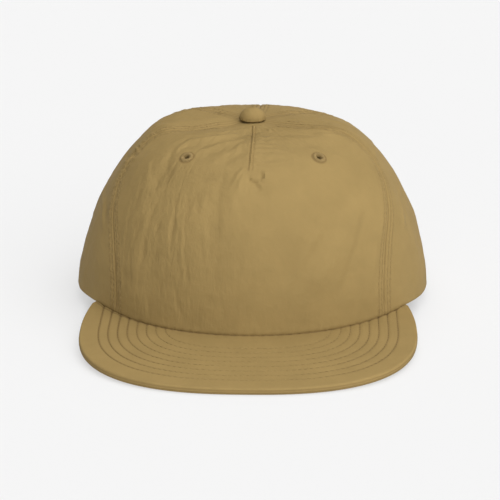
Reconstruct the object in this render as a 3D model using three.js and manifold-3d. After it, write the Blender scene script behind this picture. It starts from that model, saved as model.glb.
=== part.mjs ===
// Surf cap: five nylon crown panels, a flat peak, a covered button, two sewn eyelets, a sweatband and a
// webbing strap across the rear opening. Millimetres, +Z up. The front faces -Y, and left and right are the
// wearer's, so left is +X. The cap is drawn with its rim level at height 0 and the crown's axis upright, and
// is then tipped back as a whole until it stands on the front of its peak and the back of its rim.
import * as THREE from "three";
import { mergeVertices } from "three/addons/utils/BufferGeometryUtils.js";
import Module from "manifold-3d";

const wasm = await Module();
wasm.setup();

// General sizes.
const WALL = 1.6;
const SEAM_GAP = 0.35;
const FIT_GAP = 0.3;
const PLAN_SQUARENESS = 2.05;
const RIM_BLEND_RISE = 0.1;

// The crown's sections from the rim up to the hole for the button's shank. For the front, the sides and the
// back, "out" is the distance from the crown's axis and "up" the height above the rim.
const SECTIONS = [
  { rise: 0.0, frontOut: 92.5, frontUp: 0, sideOut: 97, sideUp: 0, backOut: 88, backUp: 0 },
  { rise: 0.14, frontOut: 92, frontUp: 17, sideOut: 94.8, sideUp: 17, backOut: 88.5, backUp: 18 },
  { rise: 0.28, frontOut: 89.8, frontUp: 35, sideOut: 91, sideUp: 34, backOut: 87.5, backUp: 37 },
  { rise: 0.42, frontOut: 84.5, frontUp: 52, sideOut: 85, sideUp: 50, backOut: 83.5, backUp: 55 },
  { rise: 0.55, frontOut: 75.5, frontUp: 67, sideOut: 76.8, sideUp: 64.5, backOut: 76, backUp: 71 },
  { rise: 0.67, frontOut: 62.5, frontUp: 79, sideOut: 66, sideUp: 78, backOut: 64, backUp: 83.5 },
  { rise: 0.79, frontOut: 43.5, frontUp: 86.5, sideOut: 50, sideUp: 88.3, backOut: 47, backUp: 91 },
  { rise: 0.9, frontOut: 21.5, frontUp: 89, sideOut: 26, sideUp: 91.8, backOut: 25, backUp: 93.2 },
  { rise: 1.0, frontOut: 2.3, frontUp: 91, sideOut: 2.3, sideUp: 91.1, backOut: 2.3, backUp: 91.4 },
];

// Where the seams run: degrees round from the front, at each rise. The first two have a mirror image on the
// other side, and the centre-back seam wanders to the left near the button.
const SEAMS = [
  { rise: 0.0, frontSide: 48.5, sideBack: 118, centreBack: 180 },
  { rise: 0.15, frontSide: 49.3, sideBack: 118, centreBack: 180 },
  { rise: 0.3, frontSide: 53, sideBack: 119, centreBack: 180 },
  { rise: 0.45, frontSide: 61.5, sideBack: 120, centreBack: 180 },
  { rise: 0.6, frontSide: 70.5, sideBack: 121, centreBack: 179.5 },
  { rise: 0.74, frontSide: 74, sideBack: 122.9, centreBack: 177.7 },
  { rise: 0.81, frontSide: 70.5, sideBack: 123.5, centreBack: 175.4 },
  { rise: 0.88, frontSide: 64, sideBack: 124, centreBack: 172.6 },
  { rise: 1.0, frontSide: 58, sideBack: 123, centreBack: 168 },
];

// Folds and dents: a rounded ridge (height over 0) or hollow (height under 0) along a line over the crown.
const FOLDS = [
  { place: "dart", fromTurn: 0.5, fromRise: 0.93, toTurn: -0.5, toRise: 0.64, width: 1.5, height: -1.5 },
  { place: "dart lip", fromTurn: 6, fromRise: 0.91, toTurn: 2, toRise: 0.65, width: 2.2, height: 0.5 },
  { place: "dart end", fromTurn: 1, fromRise: 0.61, toTurn: 5, toRise: 0.55, width: 5, height: -0.9 },
  { place: "upper gather", fromTurn: -5, fromRise: 0.89, toTurn: -36, toRise: 0.75, width: 4, height: -1.2 },
  { place: "lower gather", fromTurn: -3, fromRise: 0.84, toTurn: -25, toRise: 0.71, width: 4, height: -1 },
  { place: "mid gather", fromTurn: -3, fromRise: 0.77, toTurn: -12, toRise: 0.69, width: 3.5, height: -0.8 },
  { place: "side crease", fromTurn: -40, fromRise: 0.72, toTurn: -41, toRise: 0.58, width: 4, height: -0.9 },
  { place: "cross fold", fromTurn: 8, fromRise: 0.89, toTurn: 52, toRise: 0.82, width: 4, height: -1 },
  { place: "top hollow", fromTurn: 22, fromRise: 0.8, toTurn: 50, toRise: 0.74, width: 8, height: -1.2 },
  { place: "left drape", fromTurn: 43, fromRise: 0.46, toTurn: 24, toRise: 0.2, width: 6, height: 0.9 },
  { place: "left trough", fromTurn: 37, fromRise: 0.48, toTurn: 15, toRise: 0.24, width: 7, height: -0.8 },
  { place: "right drape", fromTurn: -46, fromRise: 0.56, toTurn: -40, toRise: 0.22, width: 5, height: 0.8 },
  { place: "right trough", fromTurn: -36, fromRise: 0.5, toTurn: -33, toRise: 0.12, width: 6, height: -0.9 },
  { place: "right slump", fromTurn: -84, fromRise: 0.45, toTurn: -84, toRise: 0.68, width: 32, height: -2.2 },
  { place: "right swell", fromTurn: -92, fromRise: 0.78, toTurn: -120, toRise: 0.84, width: 14, height: 2.4 },
  { place: "right top dip", fromTurn: -66, fromRise: 0.86, toTurn: -54, toRise: 0.94, width: 9, height: -2.4 },
  { place: "left top dip", fromTurn: 66, fromRise: 0.86, toTurn: 54, toRise: 0.94, width: 9, height: -1.4 },
  { place: "left slump", fromTurn: 84, fromRise: 0.46, toTurn: 84, toRise: 0.6, width: 22, height: -1.2 },
  { place: "rim flare", fromTurn: -66, fromRise: 0.03, toTurn: -52, toRise: 0.03, width: 16, height: -1.2 },
  { place: "back dent", fromTurn: 150, fromRise: 0.62, toTurn: 196, toRise: 0.56, width: 12, height: -1.8 },
  { place: "back ridge", fromTurn: 205, fromRise: 0.7, toTurn: 222, toRise: 0.3, width: 8, height: 1 },
];
const FOLD_STEPS = 6;
const SEAM_TUCK = 0.7;
const SEAM_TUCK_WIDTH = 2.2;
const SEAM_TUCK_TOP = 0.96;
const SEAM_TUCK_FADE = 0.1;

// Mesh rows and columns.
const EVEN_ROWS = 17;
const EVEN_ROWS_TOP = 0.92;
const APEX_RISES = [0.945, 0.965, 0.985, 1];
const FRONT_COLUMNS = 26;
const SIDE_COLUMNS = 12;
const BACK_COLUMNS = 12;
const FRONT_SEAM_STOP = 0.012;
const SEAM_STOP = 0.024;
const DART_CLEARANCE = 0.04;
const DART_COLUMNS = [-0.03, -0.014, -0.006, 0, 0.006, 0.014, 0.03];

// Peak: a flat board in a plane that dips forward from the line where the peak's corners meet the rim.
const PEAK_DIP = THREE.MathUtils.degToRad(7);
const PEAK_CORNER_Y = -51;
const PEAK_THICKNESS = 3.6;
const PEAK_EDGE_ROUND = 1.1;
const PEAK_HALF_WIDTH = 87.9;
const PEAK_WIDEST_Y = -80;
const PEAK_LENGTH = 77.4;
const PEAK_SQUARENESS = 2.55;
const PEAK_CORNER_X = 85;
const PEAK_UNDERLAP = 3.4;
const PEAK_FRONT_STEPS = 44;
const PEAK_INNER_STEPS = 36;
const PEAK_TAPER_STEPS = 5;

// Button, a lathe-turned dome on a shank with a backing disc.
const BUTTON_RADIUS = 7.25;
const BUTTON_HEIGHT = 6.8;
const BUTTON_SKIRT = 1.6;
const BUTTON_TURN_IN = 0.5;
const BUTTON_HOLLOW = 0.2;
const BUTTON_DOME_STEPS = 7;
const BUTTON_SIDES = 22;
const BUTTON_TILT = THREE.MathUtils.degToRad(6);
const SHANK_RADIUS = 1.5;
const BACKING_RADIUS = 5;
const BACKING_THICKNESS = 0.9;

// Sewn eyelets in the front panel.
const EYELETS = [
  { side: "left", turn: 36, rise: 0.69 },
  { side: "right", turn: -33, rise: 0.69 },
];
const EYELET_RADIUS = 3.6;
const EYELET_HOLE_RADIUS = 1;
const EYELET_PROUD = 0.8;
const EYELET_BARREL_RADIUS = 1.6;
const EYELET_GAP = 0.45;
const EYELET_FLAT_RADIUS = 6.5;
const EYELET_FOLD_RADIUS = 16.25;
const EYELET_SIDES = 14;
const EYELET_SEAT_REACH = 3;
const EYELET_SEAT_RISE = 0.025;

// Rear opening, strap and buckle.
const ARCH_HALF_WIDTH = 38;
const ARCH_HEIGHT = 44;
const ARCH_CUT_BELOW = 10;
const ARCH_CUT_START_Y = 50;
const ARCH_CUT_DEPTH = 60;
const ARCH_SEGMENTS = 20;
const STRAP_WIDTH = 18;
const STRAP_BOTTOM = 5;
const STRAP_THICKNESS = 1.2;
const STRAP_TUCK = 13;
const STRAP_STEPS = 60;
const STRAP_PLAIN_STEP = 3;
const CROWN_WALL_LENGTH = 122;
const BUCKLE_BAR = 3;
const BUCKLE_SLOT = 6;
const BUCKLE_SIDE_BAR = 3.5;
const BUCKLE_FRAME = 2.6;
const BUCKLE_THICKNESS = 2;
const BUCKLE_PLAY = 1.2;
const BUCKLE_CORNER = 3;
const BUCKLE_SLOT_CORNER = 0.6;
const STRAP_WEAVE = 2.5;
const WEAVE_MARGIN = 3;

// Sweatband.
const BAND_THICKNESS = 1;
const BAND_BOTTOM_RISE = 0.012;
const BAND_TOP_RISE = 0.26;
const BAND_COLUMNS = 46;
const BAND_ROWS = 4;
const BAND_END_GAP = 1;

const CLOTH = new THREE.MeshStandardMaterial({ color: 0xa0875a, roughness: 0.72, metalness: 0 });
const LINING_CLOTH = new THREE.MeshStandardMaterial({ color: 0x97805a, roughness: 0.85, metalness: 0 });
const THREAD = new THREE.MeshStandardMaterial({ color: 0x9b8256, roughness: 0.6, metalness: 0 });
const WEBBING = new THREE.MeshStandardMaterial({ color: 0x8f784e, roughness: 0.8, metalness: 0 });
const PLASTIC = new THREE.MeshStandardMaterial({ color: 0x6b5a3c, roughness: 0.45, metalness: 0 });

// A smooth reading of one column of a table, by rise.
function smoothColumn(table, column) {
  const rises = Float32Array.from(table, (row) => row.rise);
  const values = Float32Array.from(table, (row) => row[column]);
  const curve = new THREE.CubicInterpolant(rises, values, 1, new Float32Array(1));
  return (rise) => curve.evaluate(rise)[0];
}

const section = {};
for (const column of ["frontOut", "frontUp", "sideOut", "sideUp", "backOut", "backUp"]) {
  section[column] = smoothColumn(SECTIONS, column);
}
const frontSideTurn = smoothColumn(SEAMS, "frontSide");
const sideBackTurn = smoothColumn(SEAMS, "sideBack");
const centreBackTurn = smoothColumn(SEAMS, "centreBack");

// The rim follows the peak's plane in front of the peak's corners.
function peakPlaneZ(y) {
  return Math.tan(PEAK_DIP) * Math.min(0, y - PEAK_CORNER_Y);
}

// A point of the smooth crown, without folds. "turn" is in degrees round from the front, over the left side.
function smoothCrownPoint(turn, rise) {
  const angle = THREE.MathUtils.degToRad(turn);
  const across = Math.sin(angle);
  const along = Math.cos(angle);
  const endOut = along > 0 ? section.frontOut(rise) : section.backOut(rise);
  const endUp = along > 0 ? section.frontUp(rise) : section.backUp(rise);
  const acrossPart = Math.pow(Math.abs(across) / section.sideOut(rise), PLAN_SQUARENESS);
  const alongPart = Math.pow(Math.abs(along) / endOut, PLAN_SQUARENESS);
  const radius = Math.pow(acrossPart + alongPart, -1 / PLAN_SQUARENESS);
  const level = endUp * along * along + section.sideUp(rise) * across * across;
  const point = new THREE.Vector3(radius * across, -radius * along, level);
  if (rise === 0) {
    point.z += peakPlaneZ(point.y);
  } else {
    point.z += peakPlaneZ(smoothCrownPoint(turn, 0).y) * (1 - rise) ** 2;
  }
  return point;
}

// The smooth crown's outward direction, level at the rim so that the hem is cut square.
function crownNormal(turn, rise) {
  const step = 0.01;
  const low = smoothCrownPoint(turn, Math.max(0, rise - step));
  const high = smoothCrownPoint(turn, Math.min(1, rise + step));
  const before = smoothCrownPoint(turn - 1, rise);
  const after = smoothCrownPoint(turn + 1, rise);
  const normal = after.sub(before).cross(high.sub(low)).normalize();
  normal.z *= THREE.MathUtils.smoothstep(rise, 0, RIM_BLEND_RISE);
  return normal.normalize();
}

const foldLines = FOLDS.map((fold) => {
  const points = [];
  for (let i = 0; i <= FOLD_STEPS; i++) {
    const part = i / FOLD_STEPS;
    const turn = THREE.MathUtils.lerp(fold.fromTurn, fold.toTurn, part);
    points.push(smoothCrownPoint(turn, THREE.MathUtils.lerp(fold.fromRise, fold.toRise, part)));
  }
  return { ...fold, points };
});

const eyeletCentres = EYELETS.map((eyelet) => smoothCrownPoint(eyelet.turn, eyelet.rise));

// The height of all the folds together at a point of the smooth crown. The sewing keeps the cloth flat
// round each eyelet.
function foldHeight(point) {
  const nearest = new THREE.Vector3();
  const segment = new THREE.Line3();
  const eyeletDistance = Math.min(...eyeletCentres.map((centre) => centre.distanceTo(point)));
  const freedom = THREE.MathUtils.smoothstep(eyeletDistance, EYELET_FLAT_RADIUS, EYELET_FOLD_RADIUS);
  let total = 0;
  for (const fold of foldLines) {
    let distance = Infinity;
    for (let i = 0; i < FOLD_STEPS; i++) {
      segment.set(fold.points[i], fold.points[i + 1]);
      segment.closestPointToPoint(point, true, nearest);
      distance = Math.min(distance, nearest.distanceTo(point));
    }
    total += fold.height * Math.exp(-((distance / fold.width) ** 2));
  }
  return total * freedom;
}

// A point of the crown with its folds, moved in along its normal by "inset".
function crownPoint(turn, rise, inset, seamDistance = Infinity) {
  const point = smoothCrownPoint(turn, rise);
  const rimFade = THREE.MathUtils.smoothstep(rise, 0, RIM_BLEND_RISE);
  const apexFade = 1 - THREE.MathUtils.smoothstep(rise, SEAM_TUCK_TOP - SEAM_TUCK_FADE, SEAM_TUCK_TOP);
  const tuck = SEAM_TUCK * rimFade * apexFade * Math.exp(-((seamDistance / SEAM_TUCK_WIDTH) ** 2));
  const planeBefore = peakPlaneZ(point.y);
  point.addScaledVector(crownNormal(turn, rise), foldHeight(point) - tuck - inset);
  point.z += (peakPlaneZ(point.y) - planeBefore) * (1 - rise) ** 2;
  return point;
}

// A closed body between two grids of points, rows upward and columns round over the left side.
function shellBetween(outer, inner) {
  const rows = outer.length;
  const columns = outer[0].length;
  const size = rows * columns;
  const positions = [...outer.flat(), ...inner.flat()].flatMap((point) => point.toArray());
  const index = [];
  const at = (row, column) => row * columns + column;
  const quad = (a, b, c, d) => index.push(a, b, c, a, c, d);
  for (let row = 0; row < rows - 1; row++) {
    for (let column = 0; column < columns - 1; column++) {
      const corners = [at(row, column), at(row, column + 1), at(row + 1, column + 1), at(row + 1, column)];
      quad(...corners);
      quad(...corners.map((corner) => corner + size).reverse());
    }
  }
  const edge = [];
  for (let column = 0; column < columns - 1; column++) edge.push(at(0, column));
  for (let row = 0; row < rows - 1; row++) edge.push(at(row, columns - 1));
  for (let column = columns - 1; column > 0; column--) edge.push(at(rows - 1, column));
  for (let row = rows - 1; row > 0; row--) edge.push(at(row, 0));
  edge.forEach((here, i) => {
    const next = edge[(i + 1) % edge.length];
    quad(next, here, here + size, next + size);
  });
  const geometry = new THREE.BufferGeometry();
  geometry.setAttribute("position", new THREE.Float32BufferAttribute(positions, 3));
  geometry.setIndex(index);
  return geometry;
}

// Even stops from 0 to 1, with one more near each end that lets the cloth turn in at its seams.
function evenStops(count, seamStop) {
  const stops = [0, seamStop];
  for (let i = 1; i < count - 1; i++) stops.push(i / (count - 1));
  stops.push(1 - seamStop, 1);
  return stops;
}

// The rows of a crown panel, closer together round the button.
const panelRises = [];
for (let row = 0; row < EVEN_ROWS; row++) panelRises.push((EVEN_ROWS_TOP * row) / (EVEN_ROWS - 1));
panelRises.push(...APEX_RISES);

// One crown panel between two seams, which give the turn of each edge by rise.
function crownPanel(startSeam, endSeam, stops) {
  const outer = [];
  const inner = [];
  for (const rise of panelRises) {
    const middle = (startSeam(rise) + endSeam(rise)) / 2;
    const radius = Math.hypot(smoothCrownPoint(middle, rise).x, smoothCrownPoint(middle, rise).y);
    const gapTurn = THREE.MathUtils.radToDeg(SEAM_GAP / 2 / radius);
    const start = startSeam(rise) + gapTurn;
    const end = endSeam(rise) - gapTurn;
    const width = THREE.MathUtils.degToRad(end - start) * radius;
    const turns = stops.map((stop) => THREE.MathUtils.lerp(start, end, stop));
    const seamDistances = stops.map((stop) => Math.min(stop, 1 - stop) * width);
    outer.push(turns.map((turn, i) => crownPoint(turn, rise, 0, seamDistances[i])));
    inner.push(turns.map((turn, i) => crownPoint(turn, rise, WALL, seamDistances[i])));
  }
  return shellBetween(outer, inner);
}

// Joins and cuts are made on closed meshes with shared vertices.
function toSolid(geometry) {
  const bare = geometry.clone();
  bare.deleteAttribute("normal");
  bare.deleteAttribute("uv");
  const merged = mergeVertices(bare, 1e-4);
  const vertProperties = merged.attributes.position.array;
  const triVerts = new Uint32Array(merged.index.array);
  return new wasm.Manifold(new wasm.Mesh({ numProp: 3, vertProperties, triVerts }));
}

function toGeometry(solid) {
  const mesh = solid.getMesh();
  const geometry = new THREE.BufferGeometry();
  geometry.setAttribute("position", new THREE.Float32BufferAttribute(mesh.vertProperties, 3));
  geometry.setIndex(new THREE.Uint32BufferAttribute(mesh.triVerts, 1));
  return geometry;
}

// The place and lean of a fitting that sits on the front panel, with its own +Y along the cloth's normal.
function seatOnCrown(turn, rise) {
  const centre = crownPoint(turn, rise, 0);
  const turnStep = THREE.MathUtils.radToDeg(EYELET_SEAT_REACH / Math.hypot(centre.x, centre.y));
  const riseStep = EYELET_SEAT_RISE;
  const across = crownPoint(turn + turnStep, rise, 0).sub(crownPoint(turn - turnStep, rise, 0));
  const upward = crownPoint(turn, rise + riseStep, 0).sub(crownPoint(turn, rise - riseStep, 0));
  const normal = across.cross(upward).normalize();
  const seat = new THREE.Object3D();
  seat.position.copy(centre);
  seat.quaternion.setFromUnitVectors(new THREE.Vector3(0, 1, 0), normal);
  seat.updateMatrix();
  return seat;
}

const root = new THREE.Group();

function addPiece(name, geometry, material) {
  const mesh = new THREE.Mesh(geometry, material);
  mesh.name = name;
  root.add(mesh);
  return mesh;
}

const eyeletSeats = EYELETS.map((eyelet) => seatOnCrown(eyelet.turn, eyelet.rise));

// Front panel, with a dart at its centre and a hole for each eyelet.
function frontPanel() {
  const centre = 0.5;
  const plainStops = evenStops(FRONT_COLUMNS, FRONT_SEAM_STOP);
  const stops = plainStops.filter((stop) => Math.abs(stop - centre) > DART_CLEARANCE);
  stops.push(...DART_COLUMNS.map((offset) => centre + offset));
  stops.sort((a, b) => a - b);
  let solid = toSolid(crownPanel((rise) => -frontSideTurn(rise), frontSideTurn, stops));
  for (const seat of eyeletSeats) {
    const radius = EYELET_BARREL_RADIUS + FIT_GAP;
    const bore = new THREE.CylinderGeometry(radius, radius, 4 * WALL, EYELET_SIDES).applyMatrix4(seat.matrix);
    solid = solid.subtract(toSolid(bore));
  }
  return toGeometry(solid);
}

// The rear opening's outline, pushed through the back of the crown.
function rearArch() {
  const outline = new THREE.Shape();
  outline.moveTo(-ARCH_HALF_WIDTH, -ARCH_CUT_BELOW);
  outline.lineTo(ARCH_HALF_WIDTH, -ARCH_CUT_BELOW);
  outline.lineTo(ARCH_HALF_WIDTH, ARCH_HEIGHT / 3);
  outline.absellipse(0, ARCH_HEIGHT / 3, ARCH_HALF_WIDTH, (ARCH_HEIGHT * 2) / 3, 0, Math.PI, false, 0);
  const cutter = new THREE.ExtrudeGeometry(outline, {
    depth: ARCH_CUT_DEPTH,
    bevelEnabled: false,
    curveSegments: ARCH_SEGMENTS,
  });
  cutter.rotateX(Math.PI / 2);
  cutter.translate(0, ARCH_CUT_START_Y + ARCH_CUT_DEPTH, 0);
  return toSolid(cutter);
}

function sidePanel(side) {
  const stops = evenStops(SIDE_COLUMNS, SEAM_STOP);
  if (side === "left") return crownPanel(frontSideTurn, sideBackTurn, stops);
  return crownPanel((rise) => -sideBackTurn(rise), (rise) => -frontSideTurn(rise), stops);
}

function backPanel(side) {
  const stops = evenStops(BACK_COLUMNS, SEAM_STOP);
  const panel =
    side === "left"
      ? crownPanel(sideBackTurn, centreBackTurn, stops)
      : crownPanel(centreBackTurn, (rise) => 360 - sideBackTurn(rise), stops);
  return toGeometry(toSolid(panel).subtract(rearArch()));
}

// A point of the rim's plan, moved in square to the rim.
function rimPoint(turn, inset) {
  const point = smoothCrownPoint(turn, 0).addScaledVector(crownNormal(turn, 0), -inset);
  return new THREE.Vector2(point.x, point.y);
}

// The turn at which the rim's plan reaches a given distance from the middle, across the cap.
function rimTurnAt(x, startTurn, endTurn) {
  let low = startTurn;
  let high = endTurn;
  const halvings = 40;
  const isPast = (turn) => smoothCrownPoint(turn, 0).x > x;
  for (let i = 0; i < halvings; i++) {
    const middle = (low + high) / 2;
    if (isPast(middle) === isPast(startTurn)) low = middle;
    else high = middle;
  }
  return low;
}

// The peak's plan lies in its own plane, so distances forward of the corners are stretched by the dip.
function onPeakPlane(x, y) {
  return new THREE.Vector2(x, (y - PEAK_CORNER_Y) / Math.cos(PEAK_DIP));
}

function peakBoard() {
  const outline = [];
  for (let i = 0; i <= PEAK_FRONT_STEPS; i++) {
    const angle = (Math.PI * i) / PEAK_FRONT_STEPS;
    const across = Math.pow(Math.abs(Math.cos(angle)) / PEAK_HALF_WIDTH, PEAK_SQUARENESS);
    const forward = Math.pow(Math.sin(angle) / PEAK_LENGTH, PEAK_SQUARENESS);
    const radius = Math.pow(across + forward, -1 / PEAK_SQUARENESS);
    outline.push(onPeakPlane(-radius * Math.cos(angle), PEAK_WIDEST_Y - radius * Math.sin(angle)));
  }
  const taper = new THREE.QuadraticBezierCurve(
    onPeakPlane(PEAK_HALF_WIDTH, PEAK_WIDEST_Y),
    onPeakPlane(PEAK_HALF_WIDTH, (PEAK_WIDEST_Y + PEAK_CORNER_Y) / 2),
    onPeakPlane(PEAK_CORNER_X, PEAK_CORNER_Y),
  );
  const taperPoints = taper.getPoints(PEAK_TAPER_STEPS).slice(1);
  outline.push(...taperPoints);
  const cornerTurn = rimTurnAt(PEAK_CORNER_X - PEAK_UNDERLAP, 0, 90);
  for (let i = 0; i <= PEAK_INNER_STEPS; i++) {
    const turn = THREE.MathUtils.lerp(cornerTurn, -cornerTurn, i / PEAK_INNER_STEPS);
    const point = rimPoint(turn, PEAK_UNDERLAP);
    outline.push(onPeakPlane(point.x, point.y));
  }
  const mirrored = taperPoints.map((point) => new THREE.Vector2(-point.x, point.y));
  outline.push(...mirrored.reverse());
  const round = PEAK_EDGE_ROUND;
  const board = new THREE.ExtrudeGeometry(new THREE.Shape(outline), {
    depth: PEAK_THICKNESS - 2 * round,
    bevelEnabled: true,
    bevelThickness: round,
    bevelSize: round,
    bevelOffset: -round,
    bevelSegments: 2,
  });
  board.translate(0, 0, round - PEAK_THICKNESS);
  return board;
}

// How far the crown's cloth reaches above the apex within a radius, counted from the button's tilted plane.
function clothNearApex(radius, inset) {
  const heights = [];
  const turnStep = 10;
  const riseStep = 0.005;
  for (let turn = 0; turn < 360; turn += turnStep) {
    for (let rise = APEX_RISES[0]; rise <= 1; rise += riseStep) {
      const point = crownPoint(turn, rise, inset);
      if (Math.hypot(point.x, point.y) < radius) heights.push(point.z - point.y * Math.tan(BUTTON_TILT));
    }
  }
  return heights;
}

const buttonBase = Math.max(...clothNearApex(BUTTON_RADIUS + FIT_GAP, 0)) + FIT_GAP;
const backingDrop = buttonBase - Math.min(...clothNearApex(BACKING_RADIUS + FIT_GAP, WALL)) + FIT_GAP;

function buttonBody() {
  const dome = BUTTON_HEIGHT - BUTTON_SKIRT;
  const profile = [new THREE.Vector2(0, BUTTON_HEIGHT)];
  for (let i = 1; i <= BUTTON_DOME_STEPS; i++) {
    const angle = (Math.PI / 2) * (i / BUTTON_DOME_STEPS);
    profile.push(new THREE.Vector2(BUTTON_RADIUS * Math.sin(angle), BUTTON_SKIRT + dome * Math.cos(angle)));
  }
  profile.push(
    new THREE.Vector2(BUTTON_RADIUS - BUTTON_TURN_IN, 0),
    new THREE.Vector2(SHANK_RADIUS, BUTTON_HOLLOW),
    new THREE.Vector2(SHANK_RADIUS, -backingDrop),
    new THREE.Vector2(BACKING_RADIUS, -backingDrop),
    new THREE.Vector2(BACKING_RADIUS, -backingDrop - BACKING_THICKNESS),
    new THREE.Vector2(0, -backingDrop - BACKING_THICKNESS),
  );
  return new THREE.LatheGeometry(profile.reverse(), BUTTON_SIDES);
}

// A sewn eyelet: a rounded collar of thread on each face of the cloth, joined through the hole.
function eyeletBody() {
  const hole = EYELET_HOLE_RADIUS;
  const barrel = EYELET_BARREL_RADIUS;
  const under = -WALL - 1.4 * EYELET_GAP;
  const collar = EYELET_RADIUS;
  const profile = [
    [hole, under - 0.3],
    [hole + 0.3, under - 0.6],
    [collar - 1.1, under - 0.5],
    [collar - 0.8, under],
    [barrel, under],
    [barrel, EYELET_GAP],
    [collar - 0.2, EYELET_GAP],
    [collar, EYELET_GAP + 0.35 * EYELET_PROUD],
    [collar - 0.6, EYELET_GAP + EYELET_PROUD],
    [hole + 0.7, EYELET_GAP + EYELET_PROUD],
    [hole, EYELET_GAP + 0.4 * EYELET_PROUD],
  ].map(([radius, height]) => new THREE.Vector2(radius, height));
  profile.push(profile[0].clone());
  return new THREE.LatheGeometry(profile, EYELET_SIDES);
}

// The sweatband follows the inside of the rim from one end of the strap round the front to the other.
function sweatband(endTurn) {
  const outer = [];
  const inner = [];
  for (let row = 0; row < BAND_ROWS; row++) {
    const rise = THREE.MathUtils.lerp(BAND_BOTTOM_RISE, BAND_TOP_RISE, row / (BAND_ROWS - 1));
    outer.push([]);
    inner.push([]);
    for (let column = 0; column <= BAND_COLUMNS; column++) {
      const turn = THREE.MathUtils.lerp(-endTurn, endTurn, column / BAND_COLUMNS);
      outer[row].push(crownPoint(turn, rise, WALL + FIT_GAP + SEAM_TUCK));
      inner[row].push(crownPoint(turn, rise, WALL + FIT_GAP + SEAM_TUCK + BAND_THICKNESS));
    }
  }
  return shellBetween(outer, inner);
}

// The strap lies inside the back panels and weaves through the buckle, behind its side bars and over its
// centre bar.
function strapBody(startTurn, endTurn) {
  const weaveReach = BUCKLE_BAR / 2 + BUCKLE_SLOT + BUCKLE_SIDE_BAR / 2;
  const outer = [[], []];
  const inner = [[], []];
  for (let i = 0; i <= STRAP_STEPS; i++) {
    const turn = THREE.MathUtils.lerp(startTurn, endTurn, i / STRAP_STEPS);
    const across = rimPoint(turn, 0).x;
    if (Math.abs(across) > weaveReach + WEAVE_MARGIN && i % STRAP_PLAIN_STEP !== 0) continue;
    const nearness = Math.min(1, Math.abs(across) / weaveReach);
    const weave = STRAP_WEAVE * (1 + Math.cos(Math.PI * nearness));
    const slope = -Math.sin(Math.PI * nearness) * Math.sign(across) * ((STRAP_WEAVE * Math.PI) / weaveReach);
    const lean = new THREE.Vector3(-slope, 1, 0).normalize().multiplyScalar(STRAP_THICKNESS / 2);
    for (const [row, z] of [STRAP_BOTTOM, STRAP_BOTTOM + STRAP_WIDTH].entries()) {
      const centre = crownPoint(turn, z / CROWN_WALL_LENGTH, WALL + FIT_GAP + STRAP_THICKNESS / 2);
      centre.y += weave;
      centre.z = z;
      const plain = crownNormal(turn, 0).multiplyScalar(STRAP_THICKNESS / 2);
      const half = weave > 0 ? lean : plain;
      outer[row].push(centre.clone().add(half));
      inner[row].push(centre.clone().sub(half));
    }
  }
  return shellBetween(outer, inner);
}

function roundedRectangle(target, width, height, radius) {
  const x = width / 2 - radius;
  const y = height / 2 - radius;
  target.absarc(x, y, radius, 0, Math.PI / 2, false);
  target.absarc(-x, y, radius, Math.PI / 2, Math.PI, false);
  target.absarc(-x, -y, radius, Math.PI, 1.5 * Math.PI, false);
  target.absarc(x, -y, radius, 1.5 * Math.PI, 2 * Math.PI, false);
  return target;
}

// The buckle: a flat frame with a centre bar, standing upright behind the crown.
function buckleBody() {
  const width = BUCKLE_BAR + 2 * BUCKLE_SLOT + 2 * BUCKLE_SIDE_BAR;
  const slotHeight = STRAP_WIDTH + BUCKLE_PLAY;
  const outline = roundedRectangle(new THREE.Shape(), width, slotHeight + 2 * BUCKLE_FRAME, BUCKLE_CORNER);
  for (const side of [-1, 1]) {
    const slot = roundedRectangle(new THREE.Path(), BUCKLE_SLOT, slotHeight, BUCKLE_SLOT_CORNER);
    const points = slot.getPoints(2).map((point) => {
      return new THREE.Vector2(point.x + (side * (BUCKLE_BAR + BUCKLE_SLOT)) / 2, point.y);
    });
    outline.holes.push(new THREE.Path(points));
  }
  const frame = new THREE.ExtrudeGeometry(outline, {
    depth: BUCKLE_THICKNESS,
    bevelEnabled: false,
    curveSegments: 3,
  });
  frame.translate(0, 0, -BUCKLE_THICKNESS / 2);
  return frame;
}

addPiece("front_panel", frontPanel(), CLOTH);
for (const side of ["left", "right"]) {
  addPiece(`side_panel_${side}`, sidePanel(side), CLOTH);
  addPiece(`back_panel_${side}`, backPanel(side), CLOTH);
}

EYELETS.forEach(({ side }, i) => {
  const eyelet = addPiece(`eyelet_${side}`, eyeletBody(), THREAD);
  eyelet.position.copy(eyeletSeats[i].position);
  eyelet.quaternion.copy(eyeletSeats[i].quaternion);
});

const peak = addPiece("peak", peakBoard(), CLOTH);
peak.position.set(0, PEAK_CORNER_Y, -FIT_GAP);
peak.rotation.x = PEAK_DIP;

const button = addPiece("button", buttonBody(), CLOTH);
button.position.set(0, 0, buttonBase);
button.rotation.x = Math.PI / 2 + BUTTON_TILT;

const archFootTurn = rimTurnAt(ARCH_HALF_WIDTH, 90, 180);
const strapEndTurn = archFootTurn - THREE.MathUtils.radToDeg(STRAP_TUCK / section.backOut(0));
const bandEndTurn = strapEndTurn - THREE.MathUtils.radToDeg(BAND_END_GAP / section.backOut(0));
addPiece("rear_strap", strapBody(strapEndTurn, 360 - strapEndTurn), WEBBING);
addPiece("sweatband", sweatband(bandEndTurn), LINING_CLOTH);

const buckle = addPiece("strap_buckle", buckleBody(), PLASTIC);
const strapRest = rimPoint(180, WALL + FIT_GAP + STRAP_THICKNESS / 2);
buckle.position.set(0, strapRest.y + STRAP_WEAVE, STRAP_BOTTOM + STRAP_WIDTH / 2);
buckle.rotation.x = Math.PI / 2;

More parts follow.
